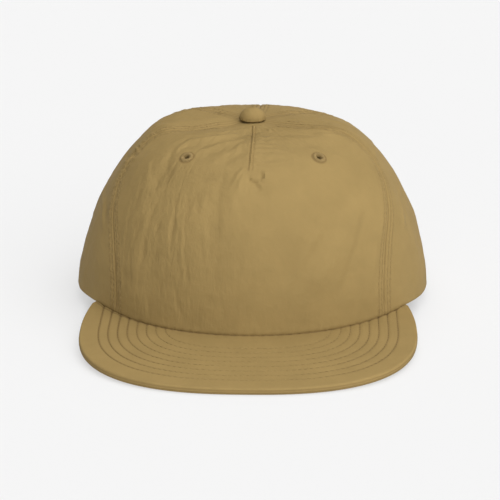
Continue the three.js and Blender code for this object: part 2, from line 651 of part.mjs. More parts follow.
// At rest the cap leans back onto the rim at the foot of the rear opening, with the peak's front edge down.
const frontRest = { y: PEAK_WIDEST_Y - PEAK_LENGTH, z: 0 };
frontRest.z = peakPlaneZ(frontRest.y) - FIT_GAP - PEAK_THICKNESS / Math.cos(PEAK_DIP);
const rearRest = smoothCrownPoint(archFootTurn, 0);
root.rotation.x = -Math.atan2(rearRest.z - frontRest.z, rearRest.y - frontRest.y);

const cap = new THREE.Group();
cap.add(root);
const box = new THREE.Box3().setFromObject(cap, true);
root.position.set(-(box.min.x + box.max.x) / 2, -(box.min.y + box.max.y) / 2, -box.min.z);

export default cap;
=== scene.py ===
import math
import bpy
import numpy as np
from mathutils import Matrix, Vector


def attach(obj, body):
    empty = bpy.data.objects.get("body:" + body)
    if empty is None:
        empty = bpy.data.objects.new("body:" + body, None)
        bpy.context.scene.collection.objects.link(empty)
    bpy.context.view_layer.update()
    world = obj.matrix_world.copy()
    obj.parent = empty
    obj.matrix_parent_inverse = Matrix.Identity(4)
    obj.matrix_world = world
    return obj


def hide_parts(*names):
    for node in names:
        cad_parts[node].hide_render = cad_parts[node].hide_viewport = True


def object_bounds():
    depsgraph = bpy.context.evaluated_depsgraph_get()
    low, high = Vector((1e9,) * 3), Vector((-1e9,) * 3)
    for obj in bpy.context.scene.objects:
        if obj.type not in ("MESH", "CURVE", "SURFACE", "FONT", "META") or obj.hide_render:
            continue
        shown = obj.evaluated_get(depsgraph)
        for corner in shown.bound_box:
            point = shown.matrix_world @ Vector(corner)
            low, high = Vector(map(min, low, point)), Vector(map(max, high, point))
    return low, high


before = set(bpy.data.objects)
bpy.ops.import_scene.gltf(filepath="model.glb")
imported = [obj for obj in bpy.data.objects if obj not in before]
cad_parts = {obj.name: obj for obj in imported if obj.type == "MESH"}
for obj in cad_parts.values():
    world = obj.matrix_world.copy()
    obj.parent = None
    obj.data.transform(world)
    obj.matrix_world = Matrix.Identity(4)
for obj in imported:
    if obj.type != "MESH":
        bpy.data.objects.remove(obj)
cad_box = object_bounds()

# Crown cloth
# Light plain-woven nylon, washed until it crinkles, and nearly matt. The same cloth covers the peak and the
# button. Its colour is darkened with painted shade in the bottom of its seams, grooves and creases.
NYLON = (0.259, 0.180, 0.070)
NYLON_PAINTED_SHADE = (0.095, 0.050, 0.020)
NYLON_ROUGHNESS = 0.58
NYLON_GLOSS = 0.02
ROUGH_DEPTH = 0.0006
STREAK_SCALE = (800, 800, 150)
STREAK_DEPTH = 0.00033
WEAVE_PITCH = 0.00055
WEAVE_DEPTH = 0.00012


def add_node(finish, kind, values=(), **settings):
    """A node of a material, with its settings and the values of its sockets."""
    made = finish.node_tree.nodes.new(kind)
    for name, value in settings.items():
        setattr(made, name, value)
    for socket, value in dict(values).items():
        made.inputs[socket].default_value = value
    return made


def new_finish(name, colour, roughness, gloss):
    """A material with its plain values on the shader's own sockets, its shader, and its coordinates."""
    finish = bpy.data.materials.new(name)
    finish.use_nodes = True
    shader = finish.node_tree.nodes["Principled BSDF"]
    shader.inputs["Base Color"].default_value = (*colour, 1)
    shader.inputs["Roughness"].default_value = roughness
    shader.inputs["Specular IOR Level"].default_value = gloss
    return finish, shader, add_node(finish, "ShaderNodeTexCoord")


def vary_colour(finish, shader, place, scale, low, high):
    """Lets the colour drift between two strengths over patches of a size, and gives the socket with it."""
    colour = shader.inputs["Base Color"].default_value[:3]
    cloud = add_node(finish, "ShaderNodeTexNoise", {"Scale": scale, "Detail": 3, "Roughness": 0.55})
    drift = {"From Min": 0.3, "From Max": 0.7, "To Min": low, "To Max": high}
    strength = add_node(finish, "ShaderNodeMapRange", drift)
    tinted = add_node(finish, "ShaderNodeVectorMath", {0: colour}, operation="SCALE")
    link = finish.node_tree.links.new
    link(place.outputs["Object"], cloud.inputs["Vector"])
    link(cloud.outputs["Fac"], strength.inputs["Value"])
    link(strength.outputs["Result"], tinted.inputs["Scale"])
    link(tinted.outputs["Vector"], shader.inputs["Base Color"])
    return tinted.outputs["Vector"]


def add_relief(finish, shader, height, strength, depth):
    """Relief from a height, on top of any relief that the finish already has."""
    relief = add_node(finish, "ShaderNodeBump", {"Strength": strength, "Distance": depth})
    link = finish.node_tree.links.new
    normal = shader.inputs["Normal"]
    if normal.is_linked:
        link(normal.links[0].from_socket, relief.inputs["Normal"])
    link(height, relief.inputs["Height"])
    link(relief.outputs["Normal"], normal)


def woven_height(finish, place, pitch):
    """The height of a plain weave that follows the piece's UV map, which is in metres."""
    link = finish.node_tree.links.new
    threads = {"Scale": math.pi / (10 * pitch), "Distortion": 0}
    both = add_node(finish, "ShaderNodeMath", operation="MULTIPLY")
    for i, direction in enumerate(("X", "Y")):
        wave = add_node(finish, "ShaderNodeTexWave", threads, bands_direction=direction)
        link(place.outputs["UV"], wave.inputs["Vector"])
        link(wave.outputs["Fac"], both.inputs[i])
    return both.outputs["Value"]


def nylon_finish(name, crinkle):
    """The nylon. A vertex value of painted shade darkens its colour, fully in the bottom of a seam, and
    another, crinkled, is 1 where the cloth has fine upright streaks."""
    finish, shader, place = new_finish(name, NYLON, NYLON_ROUGHNESS, NYLON_GLOSS)
    link = finish.node_tree.links.new
    seam = add_node(finish, "ShaderNodeAttribute", attribute_name="seam_shade")
    # Painted shade: a vertex value mixes the colour toward a dark brown.
    shaded = add_node(finish, "ShaderNodeMix", {"B": (*NYLON_PAINTED_SHADE, 1)}, data_type="RGBA")
    link(seam.outputs["Fac"], shaded.inputs["Factor"])
    link(vary_colour(finish, shader, place, 55, 0.95, 1.05), shaded.inputs["A"])
    link(shaded.outputs["Result"], shader.inputs["Base Color"])
    rough = add_node(finish, "ShaderNodeTexNoise", {"Scale": 420, "Detail": 4, "Roughness": 0.6})
    upright = add_node(finish, "ShaderNodeMapping", {"Scale": STREAK_SCALE})
    streaks = add_node(finish, "ShaderNodeTexNoise", {"Scale": 1, "Detail": 2, "Roughness": 0.6})
    crinkled = add_node(finish, "ShaderNodeAttribute", attribute_name="crinkled")
    streak_height = add_node(finish, "ShaderNodeMath", operation="MULTIPLY")
    link(place.outputs["Object"], rough.inputs["Vector"])
    link(place.outputs["Object"], upright.inputs["Vector"])
    link(upright.outputs["Vector"], streaks.inputs["Vector"])
    link(streaks.outputs["Fac"], streak_height.inputs[0])
    link(crinkled.outputs["Fac"], streak_height.inputs[1])
    add_relief(finish, shader, rough.outputs["Fac"], crinkle, ROUGH_DEPTH)
    add_relief(finish, shader, streak_height.outputs["Value"], 1, STREAK_DEPTH)
    add_relief(finish, shader, woven_height(finish, place, WEAVE_PITCH), 0.25, WEAVE_DEPTH)
    return finish


# Crown form
# The cap is drawn upright in millimetres, as its pattern is, with the rim at height 0 and the front at -Y,
# and then leans back until it stands on the front of its peak and the back of its rim. "Turn" is in degrees
# round from the front over the wearer's left, and "rise" runs from 0 at the rim to 1 at the button.
LEAN = math.radians(4.0689)
REST_PLACE = np.array([-0.0469, 32.5054, 5.7728])
WALL = 1.6
HEM_GAP = 0.3
CLIMB = 152
PLAN_SQUARENESS = 2.05
PEAK_DIP = math.radians(7)
PEAK_CORNER_Y = -51

# Rise, then the distance out and the height up, at the front, the side and the back.
SECTIONS = np.array([
    (0.00, 92.5, 0.0, 97.0, 0.0, 88.0, 0.0),
    (0.14, 92.0, 17.0, 94.8, 17.0, 88.5, 18.0),
    (0.28, 89.8, 35.0, 91.0, 34.0, 87.5, 37.0),
    (0.42, 84.5, 52.0, 85.0, 50.0, 83.5, 55.0),
    (0.55, 75.5, 67.0, 76.8, 64.5, 76.0, 71.0),
    (0.67, 62.5, 79.0, 66.0, 78.0, 64.0, 83.5),
    (0.79, 43.5, 86.5, 50.0, 88.3, 47.0, 91.0),
    (0.90, 21.5, 89.0, 26.0, 91.8, 25.0, 93.2),
    (1.00, 2.3, 91.0, 2.3, 91.1, 2.3, 91.4),
])
FRONT_OUT, FRONT_UP, SIDE_OUT, SIDE_UP, BACK_OUT, BACK_UP = range(1, 7)

# Rise, then the turn of the seam between front and side, of the one between side and back, and of the
# centre-back seam. The first two have a mirror image on the wearer's right.
SEAMS = np.array([
    (0.00, 48.5, 118.0, 180.0),
    (0.15, 49.3, 118.0, 180.0),
    (0.30, 53.0, 119.0, 180.0),
    (0.45, 61.5, 120.0, 180.0),
    (0.60, 70.5, 121.0, 179.5),
    (0.74, 74.0, 122.9, 177.7),
    (0.81, 70.5, 123.5, 175.4),
    (0.88, 64.0, 124.0, 172.6),
    (1.00, 58.0, 123.0, 168.0),
])
FRONT_SIDE, SIDE_BACK, CENTRE_BACK = range(1, 4)


def read_table(table, column, rise):
    """A smooth reading of one column of a table whose first column is the rise."""
    places, values = table[:, 0], table[:, column]
    steps = np.diff(values) / np.diff(places)
    slopes = np.concatenate([steps[:1], (steps[:-1] + steps[1:]) / 2, steps[-1:]])
    i = np.clip(np.searchsorted(places, rise, side="right") - 1, 0, len(places) - 2)
    length = places[i + 1] - places[i]
    part = (rise - places[i]) / length
    rest = 1 - part
    ends = values[i] * rest**2 * (1 + 2 * part) + values[i + 1] * part**2 * (1 + 2 * rest)
    return ends + length * part * rest * (slopes[i] * rest - slopes[i + 1] * part)


def smoothstep(value, low, high):
    part = np.clip((value - low) / (high - low), 0, 1)
    return part * part * (3 - 2 * part)


def peak_plane(y):
    """The height of the peak's plane above the rim's level."""
    return math.tan(PEAK_DIP) * np.minimum(0, y - PEAK_CORNER_Y)


def smooth_crown(turn, rise):
    """Points of the crown without its folds."""
    turn, rise = np.broadcast_arrays(np.asarray(turn, float), np.asarray(rise, float))
    across, along = np.sin(np.radians(turn)), np.cos(np.radians(turn))

    def plan_radius(at):
        end_out = np.where(along > 0, read_table(SECTIONS, FRONT_OUT, at), read_table(SECTIONS, BACK_OUT, at))
        sideways = (np.abs(across) / read_table(SECTIONS, SIDE_OUT, at)) ** PLAN_SQUARENESS
        return (sideways + (np.abs(along) / end_out) ** PLAN_SQUARENESS) ** (-1 / PLAN_SQUARENESS)

    end_up = np.where(along > 0, read_table(SECTIONS, FRONT_UP, rise), read_table(SECTIONS, BACK_UP, rise))
    level = end_up * along**2 + read_table(SECTIONS, SIDE_UP, rise) * across**2
    dip = peak_plane(-plan_radius(np.zeros_like(rise)) * along) * (1 - rise) ** 2
    radius = plan_radius(rise)
    return np.stack([radius * across, -radius * along, level + dip], -1)


def crown_outward(turn, rise):
    """The direction out of the crown, level at the rim."""
    turn, rise = np.broadcast_arrays(np.asarray(turn, float), np.asarray(rise, float))
    upward = smooth_crown(turn, np.minimum(1, rise + 0.01)) - smooth_crown(turn, np.maximum(0, rise - 0.01))
    outward = np.cross(smooth_crown(turn + 1, rise) - smooth_crown(turn - 1, rise), upward)
    outward /= np.linalg.norm(outward, axis=-1, keepdims=True)
    outward[..., 2] *= smoothstep(rise, 0, 0.1)
    return outward / np.linalg.norm(outward, axis=-1, keepdims=True)


def at_rest(points):
    """Points of the upright cap, in millimetres, where they are on the resting cap, in metres."""
    x, y, z = np.moveaxis(np.asarray(points, float), -1, 0)
    leaned = [x, y * math.cos(LEAN) + z * math.sin(LEAN), z * math.cos(LEAN) - y * math.sin(LEAN)]
    return (np.stack(leaned, -1) + REST_PLACE) / 1000


# Crown folds
# The unlined cloth keeps soft ridges and hollows where it slumps, and sharp creases where it was folded up.
# A dart is taken in down the middle of the front, below the button.

# Soft folds: turn and rise of each end, width, and height, which is under 0 for a hollow.
FOLDS = [
    (1, 0.61, 5, 0.55, 5, -0.9),
    (-5, 0.89, -36, 0.75, 4, -1.2),
    (-3, 0.84, -25, 0.71, 4, -1),
    (-3, 0.77, -12, 0.69, 3.5, -0.8),
    (-40, 0.72, -41, 0.58, 4, -0.9),
    (8, 0.89, 52, 0.82, 4, -1),
    (22, 0.8, 50, 0.74, 8, -1.2),
    (43, 0.46, 24, 0.2, 6, 0.9),
    (37, 0.48, 15, 0.24, 7, -0.8),
    (-46, 0.56, -40, 0.22, 5, 0.35),
    (-36, 0.5, -33, 0.12, 6, -0.5),
    (-11, 0.6, -14, 0.42, 4.5, -0.7),
    (-4, 0.62, -7, 0.5, 3.5, 0.5),
    (-84, 0.45, -84, 0.68, 32, -2.2),
    (-92, 0.78, -120, 0.84, 14, 2.4),
    (-66, 0.86, -54, 0.94, 9, -2.4),
    (66, 0.86, 54, 0.94, 9, -1.4),
    (84, 0.46, 84, 0.6, 22, -1.2),
    (-66, 0.03, -52, 0.03, 16, -1.2),
    (150, 0.62, 196, 0.56, 12, -1.8),
    (205, 0.7, 222, 0.3, 8, 1),
    (181, 0.74, 182.5, 0.84, 3, -0.4),
]

# Sharp creases: width, height of the crest, and the turn and rise of the points that it runs through. The
# cloth falls away on the right-hand side of the way that the points are listed.
CREASES = [
    (1.5, 0.5, [(-4.5, 0.90), (-27, 0.84), (-42, 0.78), (-43, 0.73), (-35.5, 0.61)]),
    (1.4, 0.5, [(-1, 0.85), (-20.5, 0.79), (-29.5, 0.72)]),
    (1.1, 0.35, [(-6, 0.80), (-12.5, 0.72)]),
    (1.0, 0.3, [(-6.5, 0.77), (-11, 0.70)]),
    (0.7, 0.9, [(5.4, 0.647), (7.2, 0.63), (6.4, 0.612), (5, 0.605)]),
    (0.7, 0.8, [(0, 0.62), (2, 0.612), (4.2, 0.612)]),
    (0.8, 0.6, [(2.4, 0.6), (4, 0.592), (6, 0.575)]),
    (0.9, 0.45, [(-2.6, 0.66), (-5.5, 0.62), (-7.5, 0.57)]),
    (0.9, 0.35, [(-1.6, 0.635), (-4, 0.6), (-4.5, 0.56)]),
    (1.2, 0.75, [(66, 0.76), (60.5, 0.79), (45.5, 0.84), (37, 0.91), (9, 0.94)]),
    (1.1, 0.6, [(76.5, 0.74), (72.5, 0.79), (62, 0.82), (59, 0.85), (76, 0.91), (73, 0.96)]),
    (1.2, 0.35, [(-45.5, 0.57), (-53, 0.65)]),
    (1.1, 0.15, [(-45.5, 0.11), (-46, 0.28), (-49.5, 0.43), (-52, 0.54)]),
    (1.1, 0.25, [(-27.5, 0.28), (-29.5, 0.45)]),
    (1.0, 0.2, [(-22, 0.2), (-23.5, 0.46)]),
    (1.0, 0.2, [(-14, 0.25), (-15.5, 0.45)]),
    (2.2, 0.35, [(27, 0.12), (35, 0.30), (46, 0.52)]),
    (2.0, 0.3, [(12, 0.15), (19, 0.30), (29, 0.45)]),
    (2.2, 0.35, [(42, 0.10), (47, 0.28), (56, 0.42)]),
    (1.8, 0.45, [(-62, 0.66), (-80, 0.6), (-98, 0.63)]),
    (2.0, 0.5, [(-60, 0.3), (-72, 0.42), (-92, 0.45)]),
    (1.8, 0.4, [(-104, 0.12), (-96, 0.3), (-99, 0.5)]),
    (1.8, 0.45, [(64, 0.3), (76, 0.45), (96, 0.5)]),
    (2.0, 0.4, [(102, 0.14), (94, 0.3), (88, 0.52)]),
    (1.8, 0.4, [(72, 0.62), (92, 0.68), (110, 0.64)]),
    (2.0, 0.5, [(128, 0.56), (146, 0.5), (168, 0.54)]),
    (1.8, 0.4, [(134, 0.16), (140, 0.34), (152, 0.46)]),
    (2.0, 0.5, [(190, 0.5), (208, 0.44), (228, 0.5)]),
    (1.8, 0.4, [(216, 0.14), (214, 0.3), (204, 0.42)]),
    (1.6, 0.35, [(150, 0.8), (170, 0.72), (176, 0.62)]),
    (1.6, 0.35, [(186, 0.66), (204, 0.76), (224, 0.8)]),
]

# The dart, its depth, its half width, and the lip of cloth that stands along its left-hand side as worn, as
# far as the row of stitches that holds it.
DART = [(0.5, 0.95), (0.3, 0.8), (-0.5, 0.64)]
DART_DEPTH = 0.28
DART_HALF_WIDTH = 0.45
DART_LIP = 0.5
DART_FOLD = 1.7
GATHER_PITCH = 4.6
GATHER_HEIGHT = 0.28

# The sewn eyelets keep the cloth flat round themselves.
EYELETS = {"left": (36, 0.69), "right": (-33, 0.69)}
EYELET_FLAT = 5.0
EYELET_FREE = 13.0


def line_of(places, steps=8):
    """Points over the smooth crown along a line through places given by turn and rise."""
    places = np.array(places, float)
    at = np.linspace(0, len(places) - 1, steps * (len(places) - 1) + 1)
    turn = np.interp(at, range(len(places)), places[:, 0])
    rise = np.interp(at, range(len(places)), places[:, 1])
    return smooth_crown(turn, rise)


def beside_line(points, outward, line):
    """How far points are from a line, under 0 on its right, and how far along it they are, from 0 to 1."""
    best = np.full(points.shape[:-1], np.inf)
    side = np.ones_like(best)
    along = np.zeros_like(best)
    for i in range(len(line) - 1):
        run = line[i + 1] - line[i]
        part = np.clip((points - line[i]) @ run / (run @ run), 0, 1)
        away = points - line[i] - part[..., None] * run
        distance = np.linalg.norm(away, axis=-1)
        nearer = distance < best
        best = np.where(nearer, distance, best)
        left = np.cross(outward, run)
        side = np.where(nearer, np.sign(np.sum(left * away, axis=-1)), side)
        along = np.where(nearer, (i + part) / (len(line) - 1), along)
    return best * side, along


def bell(value, width):
    return np.exp(-((value / width) ** 2))


def ridges(value, pitch):
    return np.cos(2 * np.pi * value / pitch)


def ripples(across, along, seed):
    """Smooth, even noise from about -1 to 1, the same on every run."""
    cell_a, cell_b = np.floor(across), np.floor(along)
    total = 0
    for step_a in (0, 1):
        for step_b in (0, 1):
            away_a, away_b = across - cell_a - step_a, along - cell_b - step_b
            mixed = np.sin((cell_a + step_a) * 127.1 + (cell_b + step_b) * 311.7 + seed * 74.7) * 43758.5453
            angle = 2 * np.pi * (mixed - np.floor(mixed))
            weight = smoothstep(np.abs(away_a), 1, 0) * smoothstep(np.abs(away_b), 1, 0)
            total = total + weight * (away_a * np.cos(angle) + away_b * np.sin(angle))
    return total * 1.7


def fold_height(turn, rise, points, outward):
    """The height of folds, creases and the dart over the smooth crown."""
    total = np.zeros(points.shape[:-1])
    for from_turn, from_rise, to_turn, to_rise, width, height in FOLDS:
        distance, _ = beside_line(points, outward, line_of([(from_turn, from_rise), (to_turn, to_rise)]))
        total += height * bell(distance, width)
    for width, height, places in CREASES:
        distance, along = beside_line(points, outward, line_of(places))
        taper = smoothstep(along, 0, 0.2) * smoothstep(along, 1, 0.8)
        total += height * taper * (bell(distance, width) - 0.8 * bell(distance + 1.9 * width, 1.5 * width))
    eyelet = [np.linalg.norm(points - smooth_crown(*place), axis=-1) for place in EYELETS.values()]
    total *= smoothstep(np.minimum(*eyelet), EYELET_FLAT, EYELET_FREE)

    distance, along = beside_line(points, outward, line_of(DART))
    total -= DART_DEPTH * bell(distance, DART_HALF_WIDTH) * smoothstep(along, 1, 0.85)
    lip = DART_LIP * bell(distance - DART_FOLD / 2, 0.6) - 0.5 * DART_LIP * bell(distance - DART_FOLD, 0.4)
    total += lip * smoothstep(along, 1, 0.93)
    beside = smoothstep(distance, 1.5, 4) * smoothstep(distance, 22, 9) * smoothstep(rise, 0.62, 0.68)
    climb = rise * CLIMB + 0.12 * distance + 2.4 * ripples(turn / 7, rise * 14, 3)
    total += GATHER_HEIGHT * beside * ridges(climb, GATHER_PITCH) * smoothstep(rise, 0.95, 0.9)
    return total


# Crown seams and crinkles
# Each seam is turned in and topstitched twice on both sides, which draws the cloth into small puckers. The
# hem is turned under and sewn down onto the peak in front.
STITCH_ROWS = (2.2, 4.4)
STITCH_GROOVE = 0.2
SEAM_DEPTH = 0.28
SEAM_DRAW = 0.3
SEAM_PITCH = 4.6
SEAM_PUCKER = 0.1
SHOULDER_PUCKER = 0.2
ALLOWANCE = 0.2
HEM_ROLL = 0.4
HEM_PITCH = 4.7
HEM_PUCKER = 0.12
RIM_RADIUS = 92
CLOTH_RADIUS = 90
NARROW_CRINKLE = 0.115
WIDE_CRINKLE = 0.185
SEAM_LIST = [(FRONT_SIDE, 1), (FRONT_SIDE, -1), (SIDE_BACK, 1), (SIDE_BACK, -1), (CENTRE_BACK, 1)]


def seam_turn(seam, side, rise):
    return side * read_table(SEAMS, seam, rise)


def seam_slant(seam, rise, radius):
    """The cosine of a seam's slant from straight up the crown."""
    above, below = np.minimum(1, rise + 0.01), np.maximum(0, rise - 0.01)
    lean = read_table(SEAMS, seam, above) - read_table(SEAMS, seam, below)
    return 1 / np.hypot(1, np.radians(lean) / 0.02 * radius / CLIMB)


def seam_distance(turn, rise, points):
    """The distance to the nearest seam, over 0 on the side of greater turn."""
    radius = np.hypot(points[..., 0], points[..., 1])
    nearest = np.full(points.shape[:-1], np.inf)
    for seam, side in SEAM_LIST:
        apart = (turn - seam_turn(seam, side, rise) + 180) % 360 - 180
        distance = np.radians(apart) * radius * seam_slant(seam, rise, radius)
        nearest = np.where(np.abs(distance) < np.abs(nearest), distance, nearest)
    return nearest


def seam_height(turn, rise, distance):
    """The height of the seams' groove, turned-in cloth, stitched grooves and puckers."""
    apart, climb = np.abs(distance), rise * CLIMB
    shape = ALLOWANCE * smoothstep(apart, 0.5, 1.0) * smoothstep(apart, 5.8, 4.8)
    shape = shape - SEAM_DEPTH * bell(apart, 0.5)
    for row in STITCH_ROWS:
        shape = shape - STITCH_GROOVE * bell(apart - row, 0.45)
    uneven = np.clip(0.75 + 1.3 * ripples(climb / 7, np.sign(distance) * 3 + turn / 40, 11), 0, 2)
    wave = ridges(climb + 2.6 * ripples(climb / 7, np.sign(distance) * 7, 5), SEAM_PITCH)
    shoulder = bell(rise - 0.7, 0.12) * smoothstep(turn, -30, -60)
    pucker = (SEAM_PUCKER + SHOULDER_PUCKER * shoulder) * uneven * wave
    shape = shape + pucker * bell(apart - 3, 2.4) * smoothstep(apart, 0, 1)
    drawn_in = -SEAM_DRAW * bell(apart, 3)
    return (drawn_in + shape * smoothstep(rise, 1.0, 0.82)) * smoothstep(rise, 0, 0.06)


def crinkled_share(turn, rise):
    """1 on the front's right half as worn, where the crinkles stand upright and close, and 0 elsewhere."""
    on_half = smoothstep(turn, 8, -24) * smoothstep(np.abs(turn), 60, 46)
    return on_half * smoothstep(rise, 0.78, 0.6) * (0.7 + 0.3 * smoothstep(rise, 0.1, 0.3))


def crinkle_height(turn, rise):
    """The fine crinkles, upright and close on part of the front, and softer elsewhere."""
    across, climb = np.radians(turn) * CLOTH_RADIUS, rise * CLIMB
    upright = crinkled_share(turn, rise)
    drift = across + 1.5 * ripples(across / 30, climb / 25, 2) + 0.9 * ripples(across / 6, climb / 12, 12)
    narrow, wide = ripples(drift / 1.9, climb / 8, 1), ripples(drift / 3.8, climb / 17, 4)
    fine = (NARROW_CRINKLE * upright + 0.012) * (narrow + 0.4 - 1.2 * np.abs(narrow))
    fine += (WIDE_CRINKLE * upright + 0.025) * (wide + 0.5 - 1.4 * np.abs(wide))
    loose = (1 - 0.72 * smoothstep(np.abs(turn), 66, 54)) * smoothstep(rise, 0.95, 0.75)
    broad = 0.15 * ripples(across / 7, climb / 13, 6) + 0.42 * ripples(across / 22, climb / 30, 7)
    small = 0.09 * ripples(across / 5, climb / 6, 8) + 0.05 * ripples(across / 2.6, climb / 3.2, 9)
    crumple = loose * broad + small * (1 + 0.9 * smoothstep(rise, 0.64, 0.76))
    return (fine + crumple) * smoothstep(rise, 0.99, 0.88) * (0.35 + 0.65 * smoothstep(rise, 0, 0.08))


def over_peak(points):
    """1 where the rim stands over the peak, and 0 behind the peak's corners."""
    return smoothstep(points[..., 1], PEAK_CORNER_Y + 4, PEAK_CORNER_Y - 2)


def hem_height(turn, rise, points):
    """The hem's turned edge and, over the peak, the puckers that the peak's seam draws in it."""
    climb, run = rise * CLIMB, np.radians(turn) * RIM_RADIUS
    wave = ridges(run + 1.3 * ripples(run / 10, run * 0, 21), HEM_PITCH)
    return HEM_PUCKER * over_peak(points) * wave * np.exp(-climb / 2.6) - HEM_ROLL * bell(climb, 0.9)


def crown_cloth(turn, rise, depth=0.0):
    """Points of the crown's cloth at a depth below its outer face."""
    turn, rise = np.broadcast_arrays(np.asarray(turn, float), np.asarray(rise, float))
    points = smooth_crown(turn, rise)
    outward = crown_outward(turn, rise)
    height = fold_height(turn, rise, points, outward)
    height += seam_height(turn, rise, seam_distance(turn, rise, points))
    height += crinkle_height(turn, rise) + hem_height(turn, rise, points)
    cloth = points + outward * (height - depth)[..., None]
    cloth[..., 2] += (peak_plane(cloth[..., 1]) - peak_plane(points[..., 1])) * (1 - rise) ** 2
    on_peak = smoothstep(points[..., 1], PEAK_CORNER_Y + 3, PEAK_CORNER_Y - 2)
    cloth[..., 2] -= HEM_GAP * on_peak * smoothstep(rise * CLIMB, 2, 0)
    return cloth


# Crown panels
# One front panel with the dart and the eyelets, two side panels, and two back panels that are cut away over
# the strap. Each is a single layer of cloth with its edges turned in at the seams.
PANEL_STEP = 1.05
CLOSE_STEP = 0.42
CLOSE_REACH = 4.8
ARCH_HALF_WIDTH = 38
ARCH_HEIGHT = 44
ARCH_FOOT_SHARE = 0.43
EYELET_CUT = 1.95
EYELET_EDGE = 3.9
EYELET_RISE = EYELETS["left"][1]
DART_STITCH = 1.7
FRONT_WIDTH = 168
SIDE_WIDTH = 100
BACK_WIDTH = 120
ARCH_FOOT_STOP = 52
# Strengths of the painted shade in the seams, their stitched grooves, along the hem and round the eyelets.
SEAM_SHADE = 0.35
ROW_SHADE = 0.25
HEM_SHADE = 0.5
EYELET_SHADE = 0.5


def graded_stops(length, close_places, close_reach=CLOSE_REACH):
    """Stops from 0 to 1 along a length, closer together near some places."""
    fine = np.linspace(0, length, 3000)
    nearest = np.min(np.abs(fine[:, None] - np.array(close_places)[None]), axis=1)
    step = CLOSE_STEP + (PANEL_STEP - CLOSE_STEP) * smoothstep(nearest, close_reach, close_reach + 2)
    walked = np.concatenate([[0], np.cumsum(np.diff(fine) / step[1:])])
    return np.interp(np.linspace(0, walked[-1], int(walked[-1]) + 1), walked, fine) / length


def deselect_all():
    if bpy.context.mode != "OBJECT":
        bpy.ops.object.mode_set(mode="OBJECT")
    bpy.ops.object.select_all(action="DESELECT")


def clear_selection(kind):
    """Leaves nothing of the active mesh selected, so that edges or faces can be selected by their place."""
    bpy.ops.object.mode_set(mode="EDIT")
    bpy.ops.mesh.select_mode(type=kind)
    bpy.ops.mesh.select_all(action="DESELECT")
    bpy.ops.object.mode_set(mode="OBJECT")


def put_points(piece, points):
    """Puts a mesh's points where they belong, in metres."""
    piece.data.vertices.foreach_set("co", points.reshape(-1).astype(np.float32))
    piece.data.update()


def points_of(piece):
    return np.array([vertex.co for vertex in piece.data.vertices])


def add_grid(name, points, uv):
    """A sheet of cloth from rows of points in metres, with a UV map in metres."""
    rows, columns = points.shape[:2]
    deselect_all()
    bpy.ops.mesh.primitive_grid_add(x_subdivisions=columns - 1, y_subdivisions=rows - 1, size=1)
    cloth = bpy.context.object
    cloth.name = cloth.data.name = name
    corners = np.zeros(len(cloth.data.loops), np.int32)
    cloth.data.loops.foreach_get("vertex_index", corners)
    cloth.data.uv_layers[0].data.foreach_set("uv", uv.reshape(-1, 2)[corners].reshape(-1).astype(np.float32))
    put_points(cloth, points)
    return cloth


def set_value(cloth, name, values):
    """A number on each point of a mesh, for the modelling or the finish."""
    kind = "INT" if values.dtype.kind == "i" else "FLOAT"
    attribute = cloth.data.attributes.new(name, kind, "POINT")
    attribute.data.foreach_set("value", values.reshape(-1))


def wall_from(cloth, inner):
    """Gives a sheet its thickness, and puts the inner face where the inner points are."""
    outer_count = len(cloth.data.vertices)
    kept = np.zeros(outer_count, np.int32)
    cloth.data.attributes["stop"].data.foreach_get("value", kept)
    thicken = cloth.modifiers.new("wall", "SOLIDIFY")
    thicken.thickness = WALL / 1000
    thicken.offset = -1
    bpy.context.view_layer.objects.active = cloth
    bpy.ops.object.modifier_apply(modifier=thicken.name)
    places = points_of(cloth)
    places[outer_count:] = inner.reshape(-1, 3)[kept]
    put_points(cloth, places)
    cloth.data.attributes.remove(cloth.data.attributes["stop"])
    bpy.ops.object.shade_smooth_by_angle(angle=math.radians(50))


def row_lengths(points):
    """How far each row of points is from the first row, along the columns."""
    return np.cumsum(np.linalg.norm(np.diff(points, axis=0, prepend=points[:1]), axis=-1), axis=0)


def front_shade(turn, rise, points):
    """Painted shade on the front panel: dark lines in the dart's groove, darker toward its lower end, and in
    the stitched groove beside it, both dotted at the stitches, and dark rings round the eyelets.
    """
    from_dart, along = beside_line(points, crown_outward(turn, rise), line_of(DART))
    pricked = 0.65 + 0.35 * ridges(rise * CLIMB, DART_STITCH)
    lines = (0.2 + 0.3 * along) * bell(from_dart, 0.45) + 0.35 * bell(from_dart - DART_FOLD, 0.4)
    shade = lines * pricked * smoothstep(along, 1, 0.97)
    for place in EYELETS.values():
        from_eyelet = np.linalg.norm(points - smooth_crown(*place), axis=-1)
        shade += EYELET_SHADE * bell(from_eyelet - EYELET_EDGE, 0.45)
    return shade


def cut_eyelets(cloth):
    """Cuts the two air holes in the front panel."""
    clear_selection("FACE")
    for place in EYELETS.values():
        centre = Vector(at_rest(crown_cloth(*place)))
        for face in cloth.data.polygons:
            if (face.center - centre).length < EYELET_CUT / 1000:
                face.select = True
    bpy.ops.object.mode_set(mode="EDIT")
    bpy.ops.mesh.delete(type="FACE")
    bpy.ops.object.mode_set(mode="OBJECT")


crown_finish = nylon_finish("crinkled_nylon", 0.3)


